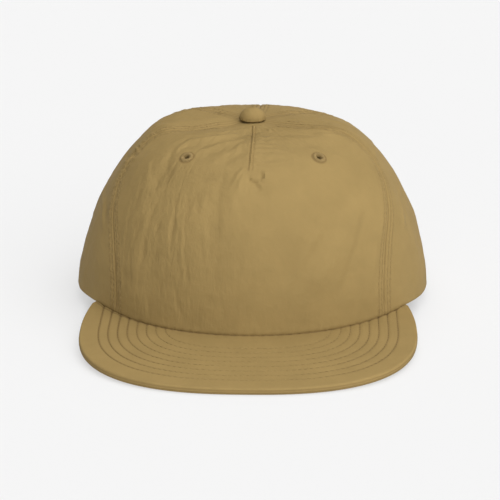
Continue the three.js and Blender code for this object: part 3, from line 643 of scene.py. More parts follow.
def crown_panel(name, turn, rise):
    """A panel from the turn and rise of its rows and columns of points."""
    turn, rise = np.broadcast_arrays(turn, rise)
    outer = crown_cloth(turn, rise)
    depth = WALL - 0.6 * HEM_ROLL * bell(rise * CLIMB, 0.9)
    inner = at_rest(outer - crown_outward(turn, rise) * depth[..., None])
    uv = np.stack([np.radians(turn) * CLOTH_RADIUS, row_lengths(outer)], -1) / 1000
    cloth = add_grid(name, at_rest(outer), uv)
    set_value(cloth, "stop", np.arange(turn.size, dtype=np.int32))
    points = smooth_crown(turn, rise)
    distance = seam_distance(turn, rise, points)
    # Painted shade: dark in the bottom of each seam and its stitched grooves, along the hem over the peak,
    # and in the hollows of the crinkles.
    rows = sum(bell(np.abs(distance) - row, 0.4) for row in STITCH_ROWS)
    shade = SEAM_SHADE * bell(distance, 0.45) + ROW_SHADE * rows
    shade += HEM_SHADE * over_peak(points) * bell(rise * CLIMB, 0.5)
    crinkled = crinkled_share(turn, rise)
    shade += 0.1 * crinkled * np.clip(-crinkle_height(turn, rise) / 0.2, 0, 1)
    if name == "front_cloth":
        shade += front_shade(turn, rise, points)
    set_value(cloth, "seam_shade", np.clip(shade, 0, 1).astype(np.float32))
    set_value(cloth, "crinkled", (0.06 + 0.94 * crinkled).astype(np.float32))
    if name == "front_cloth":
        cut_eyelets(cloth)
    wall_from(cloth, inner)
    cloth.data.materials.append(crown_finish)
    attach(cloth, "root")
    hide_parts(name.replace("cloth", "panel"))


def between(start, end, stops):
    return start[:, None] + (end - start)[:, None] * stops[None]


rises = graded_stops(CLIMB, [0, EYELET_RISE * CLIMB], 3.0)
right_front, left_front = seam_turn(FRONT_SIDE, -1, rises), seam_turn(FRONT_SIDE, 1, rises)
seam_at_eyelets = seam_turn(FRONT_SIDE, 1, EYELET_RISE)
eyelet_places = [FRONT_WIDTH * (0.5 + place[0] / seam_at_eyelets / 2) for place in EYELETS.values()]
front_stops = graded_stops(FRONT_WIDTH, [0, FRONT_WIDTH / 2, FRONT_WIDTH, *eyelet_places])
front_turns = between(right_front, left_front, front_stops)
crown_panel("front_cloth", front_turns, rises[:, None])

side_stops = graded_stops(SIDE_WIDTH, [0, SIDE_WIDTH])
left_turns = between(left_front, seam_turn(SIDE_BACK, 1, rises), side_stops)
right_turns = between(seam_turn(SIDE_BACK, -1, rises), right_front, side_stops)
for side, turns in (("left", left_turns), ("right", right_turns)):
    crown_panel(f"side_cloth_{side}", turns, rises[:, None])


def at_share(share, *sides):
    """The coordinates of a line at shares of its length."""
    steps = np.sqrt(sum(np.diff(side) ** 2 for side in sides))
    walked = np.concatenate([[0], np.cumsum(steps)])
    return [np.interp(share * walked[-1], walked, side) for side in sides]


def find_on_back(across, height):
    """The turn and rise of places on the back of the crown, from how far across and up they are."""
    turn, rise = np.full_like(height, 180.0), height / CLIMB
    for _ in range(40):
        here = smooth_crown(turn, rise)
        rise = np.clip(rise + (height - here[..., 2]) / CLIMB, 0, 1)
        turn = turn + np.degrees((here[..., 0] - across) / np.hypot(here[..., 0], here[..., 1]))
    return turn, rise


def arch_edge(share):
    """The turn and rise of the rear opening's edge, from its foot at share 0 to its top at share 1."""
    bend = np.linspace(0, np.pi / 2, 60)
    x = np.concatenate([[ARCH_HALF_WIDTH], ARCH_HALF_WIDTH * np.cos(bend)])
    z = np.concatenate([[0], ARCH_HEIGHT / 3 + ARCH_HEIGHT * 2 / 3 * np.sin(bend)])
    return find_on_back(*at_share(share, x, z))


def back_turns_and_rises(side):
    """The rows of a back panel, which start at the rim and go on up the edge of the rear opening."""
    stops = graded_stops(BACK_WIDTH, [0, ARCH_FOOT_STOP, BACK_WIDTH], 4.0)
    on_arch = stops >= ARCH_FOOT_SHARE
    arch_turn, arch_rise = arch_edge(np.clip((stops - ARCH_FOOT_SHARE) / (1 - ARCH_FOOT_SHARE), 0, 1))
    rim_turn = SEAMS[0, SIDE_BACK] + (arch_turn[0] - SEAMS[0, SIDE_BACK]) * stops / ARCH_FOOT_SHARE
    foot_turn = np.where(on_arch, arch_turn, rim_turn)
    foot_rise = np.where(on_arch, arch_rise, 0)
    rise = foot_rise[None] + (1 - foot_rise[None]) * rises[:, None]
    centre = read_table(SEAMS, CENTRE_BACK, rise)
    if side == "right":
        centre = 360 - centre
    even = read_table(SEAMS, SIDE_BACK, rise)
    even = even + (centre - even) * stops[None]
    turn = even + (foot_turn[None] - even) * (1 - rises[:, None]) ** 4
    if side == "right":
        return (360 - turn)[:, ::-1], rise[:, ::-1]
    return turn, rise


for side in ("left", "right"):
    turns, rows = back_turns_and_rises(side)
    crown_panel(f"back_cloth_{side}", turns, rows)

# Peak
# A flat stiff board in the same nylon, which dips a little forward. Eight rows of stitching run round it
# beside its edge, and its seam with the crown draws the cloth into small puckers.
PEAK_THICKNESS = 3.6
PEAK_HALF_WIDTH = 87.9
PEAK_WIDEST_Y = -80
PEAK_LENGTH = 77.4
PEAK_SQUARENESS = 2.55
PEAK_ROUND = 1.5
PEAK_CORNER_X = 85
PEAK_UNDERLAP = 3.4
PEAK_PUCKER = 0.1
PEAK_COLUMNS = 260
PEAK_ROWS = 118
PEAK_EDGE_ROWS = 16
EDGE_SEAMS = (1.15, 2.45)
ROW_HALF_WIDTH = 77.9
ROW_LENGTH = 67.1
ROW_STEP_X = 4.95
ROW_STEP_Y = 5.54
ROW_STEP = 5.2
ROW_COUNT = 8
ROW_GROOVE = 0.16


def from_peak(x, y, up):
    """Points at a height over the peak's plane, on the upright cap, from their places in plan."""
    forward = (y - PEAK_CORNER_Y) / math.cos(PEAK_DIP)
    height = forward * math.sin(PEAK_DIP) + up * math.cos(PEAK_DIP) - HEM_GAP
    return np.stack([x, y - up * math.sin(PEAK_DIP), height], -1)


def rounded_front(half_width, length, count):
    """The curved front of the peak, or of a row of stitching on it, in plan from the wearer's right."""
    angle = np.linspace(0, np.pi, count)
    across = (np.abs(np.cos(angle)) / half_width) ** PEAK_SQUARENESS
    forward = (np.abs(np.sin(angle)) / length) ** PEAK_SQUARENESS
    radius = (across + forward) ** (-1 / PEAK_SQUARENESS)
    return -radius * np.cos(angle), PEAK_WIDEST_Y - radius * np.sin(angle)


def peak_outline(share):
    """The peak's outer edge in plan, from the wearer's right corner at share 0 to the left at share 1."""
    front_x, front_y = rounded_front(PEAK_HALF_WIDTH, PEAK_LENGTH, 400)
    part = np.linspace(0, 1, 24)[1:]
    middle_y = (PEAK_WIDEST_Y + PEAK_CORNER_Y) / 2
    taper_x = (1 - part**2) * PEAK_HALF_WIDTH + part**2 * PEAK_CORNER_X
    taper_y = (1 - part) ** 2 * PEAK_WIDEST_Y + 2 * part * (1 - part) * middle_y + part**2 * PEAK_CORNER_Y
    x = np.concatenate([-taper_x[::-1], front_x, taper_x])
    y = np.concatenate([taper_y[::-1], front_y, taper_y])
    return at_share(share, x, y)


def rim_in_plan(share):
    """The line under the hem where the peak's inner edge is sewn, from right to left."""
    turn = np.linspace(-90, 90, 721)
    rim = smooth_crown(turn, 0) - crown_outward(turn, 0) * PEAK_UNDERLAP
    reach = np.abs(rim[:, 0]) <= PEAK_CORNER_X - PEAK_UNDERLAP
    return at_share(share, rim[reach, 0], rim[reach, 1])


def row_size(number):
    """The half width and the length of a row of stitching. Row 0 is the outermost."""
    return ROW_HALF_WIDTH - ROW_STEP_X * number, ROW_LENGTH - ROW_STEP_Y * number


def row_distance(x, y):
    """The distance from places on the peak to the nearest row of stitching."""
    low, high = np.full_like(x, -3.0), np.full_like(x, 11.0)
    forward = np.maximum(0, PEAK_WIDEST_Y - y)
    for _ in range(26):
        middle = (low + high) / 2
        half, length = row_size(middle)
        outside = (np.abs(x) / half) ** PEAK_SQUARENESS + (forward / length) ** PEAK_SQUARENESS > 1
        high = np.where(outside, middle, high)
        low = np.where(outside, low, middle)
    number = (low + high) / 2
    return np.abs(number - np.clip(np.round(number), 0, ROW_COUNT - 1)) * ROW_STEP


def peak_height(x, y, from_edge, from_seam):
    """The height of the stitched grooves and the puckers over the flat peak."""
    groove = ROW_GROOVE * (0.5 + 0.5 * smoothstep(np.abs(x), 15, 60))
    height = 0.05 * ripples(x / 6, y / 6, 31) + 0.07 * ripples(x / 17, y / 15, 32)
    height += PEAK_PUCKER * ridges(x, HEM_PITCH) * np.exp(-np.maximum(0, from_seam) / 3)
    height -= groove * bell(row_distance(x, y), 0.7)
    return height * smoothstep(from_edge, 0, 2.5)


shares = np.linspace(0, 1, PEAK_COLUMNS + 1)
outer_x, outer_y = peak_outline(shares)
inner_x, inner_y = rim_in_plan(shares)
span = np.hypot(outer_x - inner_x, outer_y - inner_y)
edge_part = np.linspace(0, 1, PEAK_ROWS + 1)[:, None]
pull_in = PEAK_ROUND / np.maximum(span, 6)
flat_x = inner_x + (outer_x - inner_x) * edge_part * (1 - pull_in)
flat_y = inner_y + (outer_y - inner_y) * edge_part * (1 - pull_in)
from_peak_seam = edge_part * span - PEAK_UNDERLAP
top_height = peak_height(flat_x, flat_y, (1 - edge_part) * span, from_peak_seam)
top = from_peak(flat_x, flat_y, top_height)
bottom = from_peak(flat_x, flat_y, -PEAK_THICKNESS - top_height)
round_angle = np.linspace(0, np.pi, PEAK_EDGE_ROWS + 2)[1:-1, None]
edge_up = (np.cos(round_angle) - 1) * PEAK_THICKNESS / 2
swell = np.sin(round_angle) ** 0.75 * (1 - 0.1 * sum(bell(edge_up + seam, 0.22) for seam in EDGE_SEAMS))
edge_x = flat_x[-1] + (outer_x - flat_x[-1]) * swell
edge_y = flat_y[-1] + (outer_y - flat_y[-1]) * swell
peak_points = np.concatenate([top, from_peak(edge_x, edge_y, edge_up), bottom[::-1]])
peak_walked = row_lengths(peak_points)
peak_uv = np.stack([np.broadcast_to(inner_x * 1.05, peak_walked.shape), peak_walked], -1) / 1000
peak_cloth = add_grid("peak_cloth", at_rest(peak_points), peak_uv)
# Painted shade on the peak: in its stitched grooves, darker toward the sides and most on the wearer's right,
# where the light leaves the grooves in shade; along its seam with the crown; and in the two seam grooves
# round its edge.
at_corners = smoothstep(flat_x, -25, -75) + 0.65 * smoothstep(flat_x, 25, 75)
top_shade = (0.04 + 0.46 * at_corners) * bell(row_distance(flat_x, flat_y), 0.5)
top_shade += HEM_SHADE * bell(from_peak_seam, 0.5)
edge_shade = 0.35 * sum(bell(edge_up + seam, 0.25) for seam in EDGE_SEAMS)
peak_shade = np.concatenate([top_shade, np.broadcast_to(edge_shade, edge_x.shape), 0 * top_shade])
set_value(peak_cloth, "seam_shade", peak_shade.astype(np.float32))


def close_ends():
    """Closes the open ends of the mesh that is in edit mode, turns its faces outwards and smooths it."""
    bpy.ops.mesh.select_all(action="DESELECT")
    bpy.ops.mesh.select_mode(type="EDGE")
    bpy.ops.mesh.select_non_manifold(use_wire=False, use_boundary=True)
    bpy.ops.mesh.edge_face_add()
    bpy.ops.mesh.select_all(action="SELECT")
    bpy.ops.mesh.normals_make_consistent(inside=False)
    bpy.ops.object.mode_set(mode="OBJECT")
    bpy.ops.object.shade_smooth_by_angle(angle=math.radians(50))


# The board's underside is joined to its top along the seam and at its two corners.
clear_selection("EDGE")
row_points, last_row = PEAK_COLUMNS + 1, len(peak_points) - 1
for line in peak_cloth.data.edges:
    line.select = {vertex // row_points for vertex in line.vertices} in ({0}, {last_row})
bpy.ops.object.mode_set(mode="EDIT")
bpy.ops.mesh.bridge_edge_loops()
close_ends()
peak_cloth.data.materials.append(nylon_finish("peak_nylon", 0.18))
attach(peak_cloth, "root")
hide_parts("peak")

# Topstitching
# Matt thread in the cloth's colour: two rows along each side of every seam, one round the rear opening, and
# eight round the peak. A stitch is made once and copied along the rows of each group.
THREAD = (0.235, 0.162, 0.064)
# The peak's thread is in the cloth's colour at the middle and darkens toward the sides with painted shade.
SHADED_THREAD = (0.16, 0.107, 0.043)
SHADE_FROM = 0.015
SHADE_BEYOND = 0.065
STITCH_PITCH = 3.0
STITCH_SIZE = (2.3, 0.4, 0.34)
STITCH_SINK = 0.05
ARCH_STITCH_INSET = 5.0
ARCH_STITCH_FOOT = 3

thread_finish, thread_shader, thread_place = new_finish("matt_thread", THREAD, 0.62, 0.12)
vary_colour(thread_finish, thread_shader, thread_place, 300, 0.88, 1.1)


def shaded_thread_finish():
    """Thread pulled down into the peak. Painted shade makes it darker toward the sides, where the grooves
    are deep.
    """
    finish, shader, place = new_finish("peak_thread_painted_shade", SHADED_THREAD, 0.7, 0.08)
    sideways = add_node(finish, "ShaderNodeSeparateXYZ")
    distance = add_node(finish, "ShaderNodeMath", operation="ABSOLUTE")
    # Painted shade: the thread's colour goes from the cloth's in the middle to a dark brown toward the sides.
    shade_mix = add_node(finish, "ShaderNodeMapRange", {"From Min": SHADE_FROM, "From Max": SHADE_BEYOND})
    mixed = add_node(finish, "ShaderNodeMix", {"A": (*NYLON, 1)}, data_type="RGBA")
    link = finish.node_tree.links.new
    link(place.outputs["Object"], sideways.inputs["Vector"])
    link(sideways.outputs["X"], distance.inputs[0])
    link(distance.outputs["Value"], shade_mix.inputs["Value"])
    link(shade_mix.outputs["Result"], mixed.inputs["Factor"])
    link(vary_colour(finish, shader, place, 300, 0.85, 1.1), mixed.inputs["B"])
    link(mixed.outputs["Result"], shader.inputs["Base Color"])
    return finish


def pace(line, outward, pitch):
    """Places at an even pitch along a line, with the directions along it and out of the cloth there."""
    walked = np.concatenate([[0], np.cumsum(np.linalg.norm(np.diff(line, axis=0), axis=1))])
    count = max(1, int(walked[-1] / pitch))
    at = (np.arange(count) + 0.5) * walked[-1] / count

    def read(values, where):
        return np.stack([np.interp(where, walked, values[:, i]) for i in range(3)], -1)

    ahead = read(line, at + pitch / 4) - read(line, at - pitch / 4)
    return read(line, at), ahead, read(outward, at)


def sew(name, rows, finish=thread_finish):
    """One mesh of stitches along rows, each a line of points and outward directions in millimetres."""
    deselect_all()
    bpy.ops.mesh.primitive_uv_sphere_add(segments=6, ring_count=4, radius=0.5)
    one = bpy.context.object
    form = points_of(one) * np.array(STITCH_SIZE)
    corners = [list(face.vertices) for face in one.data.polygons]
    bpy.ops.object.delete()
    paced = [pace(*row, STITCH_PITCH) for row in rows]
    places, ahead, outward = (np.concatenate(part) for part in zip(*paced))
    ahead /= np.linalg.norm(ahead, axis=1, keepdims=True)
    beside = np.cross(outward, ahead)
    beside /= np.linalg.norm(beside, axis=1, keepdims=True)
    up = np.cross(ahead, beside)
    length, width, height = (form[None, :, i, None] for i in range(3))
    shape = length * ahead[:, None] + width * beside[:, None] + (height + STITCH_SINK) * up[:, None]
    points = places[:, None] + shape
    faces = [[i * len(form) + corner for corner in face] for i in range(len(places)) for face in corners]
    mesh = bpy.data.meshes.new(name)
    mesh.from_pydata(at_rest(points).reshape(-1, 3), [], faces)
    thread = bpy.data.objects.new(name, mesh)
    bpy.context.scene.collection.objects.link(thread)
    mesh.shade_smooth()
    mesh.materials.append(finish)
    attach(thread, "root")


def beside_seam(seam, side, offset, from_rise=0.012, to_rise=0.93):
    """A line on the cloth at a distance to one side of a seam."""
    rise = np.linspace(from_rise, to_rise, 260)
    points = smooth_crown(seam_turn(seam, side, rise), rise)
    radius = np.hypot(points[:, 0], points[:, 1])
    turn = seam_turn(seam, side, rise) + np.degrees(offset / radius / seam_slant(seam, rise, radius))
    return crown_cloth(turn, rise), crown_outward(turn, rise)


offsets = [side * row for side in (-1, 1) for row in STITCH_ROWS]
for name, seam, side in (
    ("stitches_front_left", FRONT_SIDE, 1),
    ("stitches_front_right", FRONT_SIDE, -1),
    ("stitches_back_left", SIDE_BACK, 1),
    ("stitches_back_right", SIDE_BACK, -1),
):
    sew(name, [beside_seam(seam, side, offset) for offset in offsets])
arch_top_rise = float(arch_edge(np.array([1.0]))[1][0])
sew("stitches_centre_back", [beside_seam(CENTRE_BACK, 1, offset, arch_top_rise + 0.01) for offset in offsets])


def round_arch(inset):
    """A line on the cloth round the rear opening, at a distance out from its edge."""
    bend = np.linspace(0, np.pi, 120)
    x = np.concatenate([[1], np.cos(bend), [-1]]) * (ARCH_HALF_WIDTH + inset)
    bow = ARCH_HEIGHT / 3 + (ARCH_HEIGHT * 2 / 3 + inset) * np.sin(bend)
    turn, rise = find_on_back(x, np.concatenate([[ARCH_STITCH_FOOT], bow, [ARCH_STITCH_FOOT]]))
    return crown_cloth(turn, rise), crown_outward(turn, rise)


sew("stitches_arch", [round_arch(ARCH_STITCH_INSET)])


def peak_row(number, underside):
    """One row of stitching round the peak, from seam to seam."""
    half, length = row_size(number)
    x, y = rounded_front(half, length, 300)
    seam_x, seam_y = rim_in_plan(np.linspace(0, 1, 400))
    start_y = np.interp(half, seam_x, seam_y) - (0 if underside else PEAK_UNDERLAP) - 0.5
    if start_y > PEAK_WIDEST_Y:
        back = np.linspace(start_y, PEAK_WIDEST_Y, 20)[:-1]
        x = np.concatenate([np.full_like(back, -half), x, np.full_like(back, half)])
        y = np.concatenate([back, y, back[::-1]])
    else:
        ahead_of_seam = y < np.interp(x, seam_x, seam_y) - PEAK_UNDERLAP
        x, y = x[ahead_of_seam], y[ahead_of_seam]
    height = peak_height(x, y, 9.0, 20.0)
    up = -PEAK_THICKNESS - height - 2 * STITCH_SINK if underside else height
    line = from_peak(x, y, up)
    outward = np.array([0, -math.sin(PEAK_DIP), math.cos(PEAK_DIP)]) * (-1 if underside else 1)
    return line, np.broadcast_to(outward, line.shape)


peak_thread_finish = shaded_thread_finish()
sew("stitches_peak_top", [peak_row(number, False) for number in range(ROW_COUNT)], peak_thread_finish)
sew("stitches_peak_under", [peak_row(number, True) for number in range(ROW_COUNT)], peak_thread_finish)

# Button
# A small dome covered in the same nylon, whose edge is gathered under in tight pleats. It is pinned at the
# top of the crown, where the seams meet, and leans a little forward.
BUTTON_RADIUS = 7.25
BUTTON_HEIGHT = 7.2
BUTTON_SKIRT = 1.3
BUTTON_BASE = 90.7
BUTTON_TILT = math.radians(6)
BUTTON_PLEATS = 26
PLEAT_DEPTH = 0.32

deselect_all()
bpy.ops.mesh.primitive_uv_sphere_add(segments=BUTTON_PLEATS * 6, ring_count=44, radius=1)
button = bpy.context.object
button.name = button.data.name = "button_cloth"
ball = points_of(button)
button_turn = np.arctan2(ball[:, 1], ball[:, 0])
lean_in = np.arcsin(np.clip(ball[:, 2], -1, 1))
below = np.clip(-ball[:, 2], 0, 1)
out = np.where(lean_in > 0, np.cos(lean_in), np.cos(lean_in) ** 0.4)
dome = BUTTON_SKIRT + (BUTTON_HEIGHT - BUTTON_SKIRT) * np.sin(lean_in)
up = np.where(lean_in > 0, dome, BUTTON_SKIRT * (1 - below))
pleat = np.abs(np.cos(BUTTON_PLEATS / 2 * button_turn + 0.8 * np.sin(3 * button_turn))) ** 0.7 - 0.5
gathered = smoothstep(up, 3.6, 0.6) * smoothstep(out, 0.2, 0.7)
out = BUTTON_RADIUS * out + PLEAT_DEPTH * pleat * gathered - 0.1 * bell(up - 1.7, 0.4)
up = up + 0.12 * ripples(ball[:, 0] * 3, ball[:, 1] * 3, 41) * smoothstep(up, 2, 4)
seat = np.stack([out * np.cos(button_turn), out * np.sin(button_turn), up], -1)
tilted = np.stack([
    seat[:, 0],
    seat[:, 1] * math.cos(BUTTON_TILT) - seat[:, 2] * math.sin(BUTTON_TILT),
    seat[:, 2] * math.cos(BUTTON_TILT) + seat[:, 1] * math.sin(BUTTON_TILT) + BUTTON_BASE,
], -1)
put_points(button, at_rest(tilted))
# Painted shade round the foot of the button, where its gathered edge meets the crown.
set_value(button, "seam_shade", (0.12 * bell(up, 0.9)).astype(np.float32))
bpy.ops.object.shade_smooth()
button.data.materials.append(nylon_finish("button_nylon", 0.2))
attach(button, "root")
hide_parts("button")

# Eyelets
# Sewn air holes: close turns of thread over the edge of a small hole, which make a ribbed ring on both faces.
EYELET_RING = 2.45
EYELET_BAR = 1.2
EYELET_DEPTH = 1.6
EYELET_SUNK = 0.8
EYELET_TURNS = 30
THREAD_RIDGE = 0.13


def lie_on_crown(points, turn, rise):
    """Points drawn flat at the origin, with +Z out of the cloth, laid on the crown."""
    outward = crown_outward(turn, rise)
    across = np.cross([0, 0, 1], outward)
    across /= np.linalg.norm(across)
    upward = np.cross(outward, across)
    centre = crown_cloth(turn, rise)
    return centre + points[:, :1] * across + points[:, 1:2] * upward + points[:, 2:] * outward


for side, place in EYELETS.items():
    deselect_all()
    bpy.ops.mesh.primitive_torus_add(
        major_radius=1, minor_radius=0.5, major_segments=EYELET_TURNS * 6, minor_segments=18)
    ring = bpy.context.object
    ring.name = ring.data.name = f"eyelet_thread_{side}"
    shape = points_of(ring)
    round_turn = np.arctan2(shape[:, 1], shape[:, 0])
    inward = (np.hypot(shape[:, 0], shape[:, 1]) - 1) / 0.5
    upward = shape[:, 2] / 0.5
    ridge = 1 + THREAD_RIDGE * (np.abs(np.sin(EYELET_TURNS / 2 * round_turn + 0.4 * inward)) - 0.5)
    reach = EYELET_RING + EYELET_BAR * inward * ridge
    height = EYELET_DEPTH * upward * ridge - EYELET_SUNK
    flat = np.stack([reach * np.cos(round_turn), reach * np.sin(round_turn), height], -1)
    put_points(ring, at_rest(lie_on_crown(flat, *place)))
    bpy.ops.object.shade_smooth()
    ring.data.materials.append(thread_finish)
    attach(ring, "root")
    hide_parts(f"eyelet_{side}")

# Sweatband
# A band of matt cotton twill inside the rim, folded over along its top edge and sewn along the hem.
BAND_CLOTH = (0.30, 0.225, 0.105)
BAND_LOW = 0.012
BAND_HIGH = 0.26
BAND_INSET = 3.05
BAND_THICKNESS = 1.0
BAND_HEM = 0.016
BAND_FOLD = 0.036
BAND_COLUMNS = 420
BAND_ROWS = 40
STRAP_TUCK = 13
TWILL_PITCH = 0.0011


def twill_finish(name, colour, pitch, strength):
    """Matt cotton with fine slanting ribs."""
    finish, shader, place = new_finish(name, colour, 0.85, 0.2)
    vary_colour(finish, shader, place, 80, 0.92, 1.06)
    turned = add_node(finish, "ShaderNodeMapping", {"Rotation": (0, 0, math.radians(58))})
    rib = add_node(finish, "ShaderNodeTexWave", {"Scale": math.pi / (10 * pitch), "Distortion": 0.4})
    link = finish.node_tree.links.new
    link(place.outputs["UV"], turned.inputs["Vector"])
    link(turned.outputs["Vector"], rib.inputs["Vector"])
    add_relief(finish, shader, rib.outputs["Fac"], strength, 0.0002)
    return finish


def inside_crown(turn, rise, inset):
    """Points of the folded crown without its seams and crinkles, moved in."""
    points, outward = smooth_crown(turn, rise), crown_outward(turn, rise)
    return points + outward * (fold_height(turn, rise, points, outward) - inset)[..., None]


arch_foot = float(arch_edge(np.array([0.0]))[0][0])
strap_end = arch_foot - math.degrees(STRAP_TUCK / SECTIONS[0, BACK_OUT])
band_end = strap_end - math.degrees(1 / SECTIONS[0, BACK_OUT])
band_turns = np.linspace(-band_end, band_end, BAND_COLUMNS)
band_rises = np.linspace(BAND_LOW, BAND_HIGH, BAND_ROWS)
band_turn, band_rise = np.meshgrid(band_turns, band_rises)
fold_over = 0.35 * bell((BAND_HIGH - band_rise) * CLIMB - 5.5, 0.6)
fold_over += 0.15 * ripples(band_turn / 7, band_rise * 12, 51)
band_outer = inside_crown(band_turn, band_rise, BAND_INSET)
band_inner = inside_crown(band_turn, band_rise, BAND_INSET + BAND_THICKNESS + fold_over * 0.6)
band_uv = np.stack([np.radians(band_turn) * CLOTH_RADIUS, band_rise * CLIMB], -1) / 1000
band = add_grid("sweatband_cloth", at_rest(band_outer), band_uv)
set_value(band, "stop", np.arange(band_turn.size, dtype=np.int32))
wall_from(band, at_rest(band_inner))
band.data.materials.append(twill_finish("cotton_twill", BAND_CLOTH, TWILL_PITCH, 0.6))
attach(band, "root")
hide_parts("sweatband")
band_row_turn = np.linspace(-band_end + 1, band_end - 1, 500)
band_stitches = []
for rise in (BAND_LOW + BAND_HEM, BAND_HIGH - BAND_FOLD):
    row = inside_crown(band_row_turn, rise, BAND_INSET + BAND_THICKNESS + STITCH_SINK)
    band_stitches.append((row, -crown_outward(band_row_turn, rise)))
sew("stitches_band", band_stitches)

# Rear strap
# Ribbed nylon webbing across the rear opening, sewn inside the back panels and woven through the buckle.
WEBBING = (0.28, 0.205, 0.09)
STRAP_WIDTH = 18
STRAP_BOTTOM = 5
STRAP_THICKNESS = 1.2
STRAP_INSET = 2.5
STRAP_COLUMNS = 321
CROWN_WALL_LENGTH = 122
STRAP_WEAVE = 2.5
BUCKLE_BAR = 3
BUCKLE_SLOT = 6
BUCKLE_SIDE_BAR = 3.5
BUCKLE_FRAME = 2.6
BUCKLE_THICKNESS = 2.0
BUCKLE_PLAY = 1.2
BUCKLE_CORNER = 3
WEBBING_RIB = 0.0009

strap_turn = np.linspace(strap_end, 360 - strap_end, STRAP_COLUMNS)
rim_x = smooth_crown(strap_turn, 0)[:, 0]
weave_reach = BUCKLE_BAR / 2 + BUCKLE_SLOT + BUCKLE_SIDE_BAR / 2
nearness = np.minimum(1, np.abs(rim_x) / weave_reach)
weave = STRAP_WEAVE * (1 + np.cos(np.pi * nearness))
flat_side = np.linspace(-1, 1, 40)
turn_over = np.linspace(-np.pi / 2, np.pi / 2, 8)[1:-1]
half_width, half_thick = STRAP_WIDTH / 2 - STRAP_THICKNESS / 2, STRAP_THICKNESS / 2
face_up, face_out = flat_side * half_width, np.full(flat_side.size, half_thick)
side_up, side_out = half_width + half_thick * np.cos(turn_over), half_thick * np.sin(turn_over)
section_up = np.concatenate([face_up, side_up, -face_up, -side_up, [-half_width]])
section_out = np.concatenate([-face_out, side_out, face_out, -side_out, [-half_thick]])
height = STRAP_BOTTOM + STRAP_WIDTH / 2 + section_up
middle = inside_crown(*np.meshgrid(strap_turn, height / CROWN_WALL_LENGTH), STRAP_INSET)
middle[..., 1] += weave
middle[..., 2] = height[:, None]
run = np.gradient(middle, axis=1)
across_strap = np.cross(run, [0, 0, 1])
across_strap /= np.linalg.norm(across_strap, axis=-1, keepdims=True)
strap_points = middle + across_strap * section_out[:, None, None]
strap_length = np.cumsum(np.linalg.norm(run, axis=-1), axis=1)
strap_round = np.broadcast_to((section_up + section_out)[:, None], strap_length.shape)
strap_uv = np.stack([strap_length, strap_round], -1)
strap = add_grid("strap_webbing", at_rest(strap_points), strap_uv / 1000)
bpy.ops.object.mode_set(mode="EDIT")
bpy.ops.mesh.select_all(action="SELECT")
bpy.ops.mesh.remove_doubles(threshold=1e-6)
close_ends()
webbing_finish, webbing_shader, webbing_place = new_finish("ribbed_webbing", WEBBING, 0.75, 0.15)
vary_colour(webbing_finish, webbing_shader, webbing_place, 250, 0.9, 1.08)
ribs = woven_height(webbing_finish, webbing_place, WEBBING_RIB)
add_relief(webbing_finish, webbing_shader, ribs, 0.7, 0.0003)
strap.data.materials.append(webbing_finish)
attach(strap, "root")
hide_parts("rear_strap")

# Buckle
# A moulded plastic slider with two slots, which stands upright behind the crown with the strap through it.
PLASTIC = (0.155, 0.11, 0.05)
buckle_width = BUCKLE_BAR + 2 * (BUCKLE_SLOT + BUCKLE_SIDE_BAR)
slot_height = STRAP_WIDTH + BUCKLE_PLAY
buckle_y = SECTIONS[0, BACK_OUT] - STRAP_INSET + STRAP_WEAVE
buckle_centre = np.array([0, buckle_y, STRAP_BOTTOM + STRAP_WIDTH / 2])


def add_block(size, centre):
    deselect_all()
    bpy.ops.mesh.primitive_cube_add(size=1, location=centre, scale=size)
    bpy.ops.object.transform_apply(location=True, rotation=False, scale=True)
    return bpy.context.object


buckle = add_block((buckle_width, BUCKLE_THICKNESS, slot_height + 2 * BUCKLE_FRAME), (0, 0, 0))
buckle.name = buckle.data.name = "buckle_slider"
clear_selection("EDGE")
for line in buckle.data.edges:
    ends = [buckle.data.vertices[i].co for i in line.vertices]
    line.select = abs(ends[0].y - ends[1].y) > BUCKLE_THICKNESS / 2
bpy.ops.object.mode_set(mode="EDIT")
bpy.ops.mesh.bevel(offset=BUCKLE_CORNER, segments=8)
bpy.ops.object.mode_set(mode="OBJECT")
for side in (-1, 1):
    slot_x = side * (BUCKLE_BAR + BUCKLE_SLOT) / 2
    cutter = add_block((BUCKLE_SLOT, 3 * BUCKLE_THICKNESS, slot_height), (slot_x, 0, 0))
    bpy.context.view_layer.objects.active = buckle
    cut = buckle.modifiers.new("slot", "BOOLEAN")
    cut.operation, cut.solver, cut.object = "DIFFERENCE", "EXACT", cutter
    bpy.ops.object.modifier_apply(modifier=cut.name)
    bpy.data.objects.remove(cutter)
deselect_all()
buckle.select_set(True)
bpy.context.view_layer.objects.active = buckle
soften = buckle.modifiers.new("moulded_edges", "BEVEL")
soften.width, soften.segments, soften.limit_method, soften.angle_limit = 0.45, 3, "ANGLE", math.radians(50)
bpy.ops.object.modifier_apply(modifier=soften.name)
put_points(buckle, at_rest(points_of(buckle) + buckle_centre))
bpy.ops.object.shade_smooth_by_angle(angle=math.radians(35))
plastic_finish, plastic_shader, plastic_place = new_finish("satin_plastic", PLASTIC, 0.42, 0.5)
vary_colour(plastic_finish, plastic_shader, plastic_place, 120, 0.95, 1.04)
grain = add_node(plastic_finish, "ShaderNodeTexNoise", {"Scale": 2600, "Detail": 2})
plastic_finish.node_tree.links.new(plastic_place.outputs["Object"], grain.inputs["Vector"])
add_relief(plastic_finish, plastic_shader, grain.outputs["Fac"], 0.15, 0.00008)
buckle.data.materials.append(plastic_finish)
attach(buckle, "root")
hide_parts("strap_buckle")
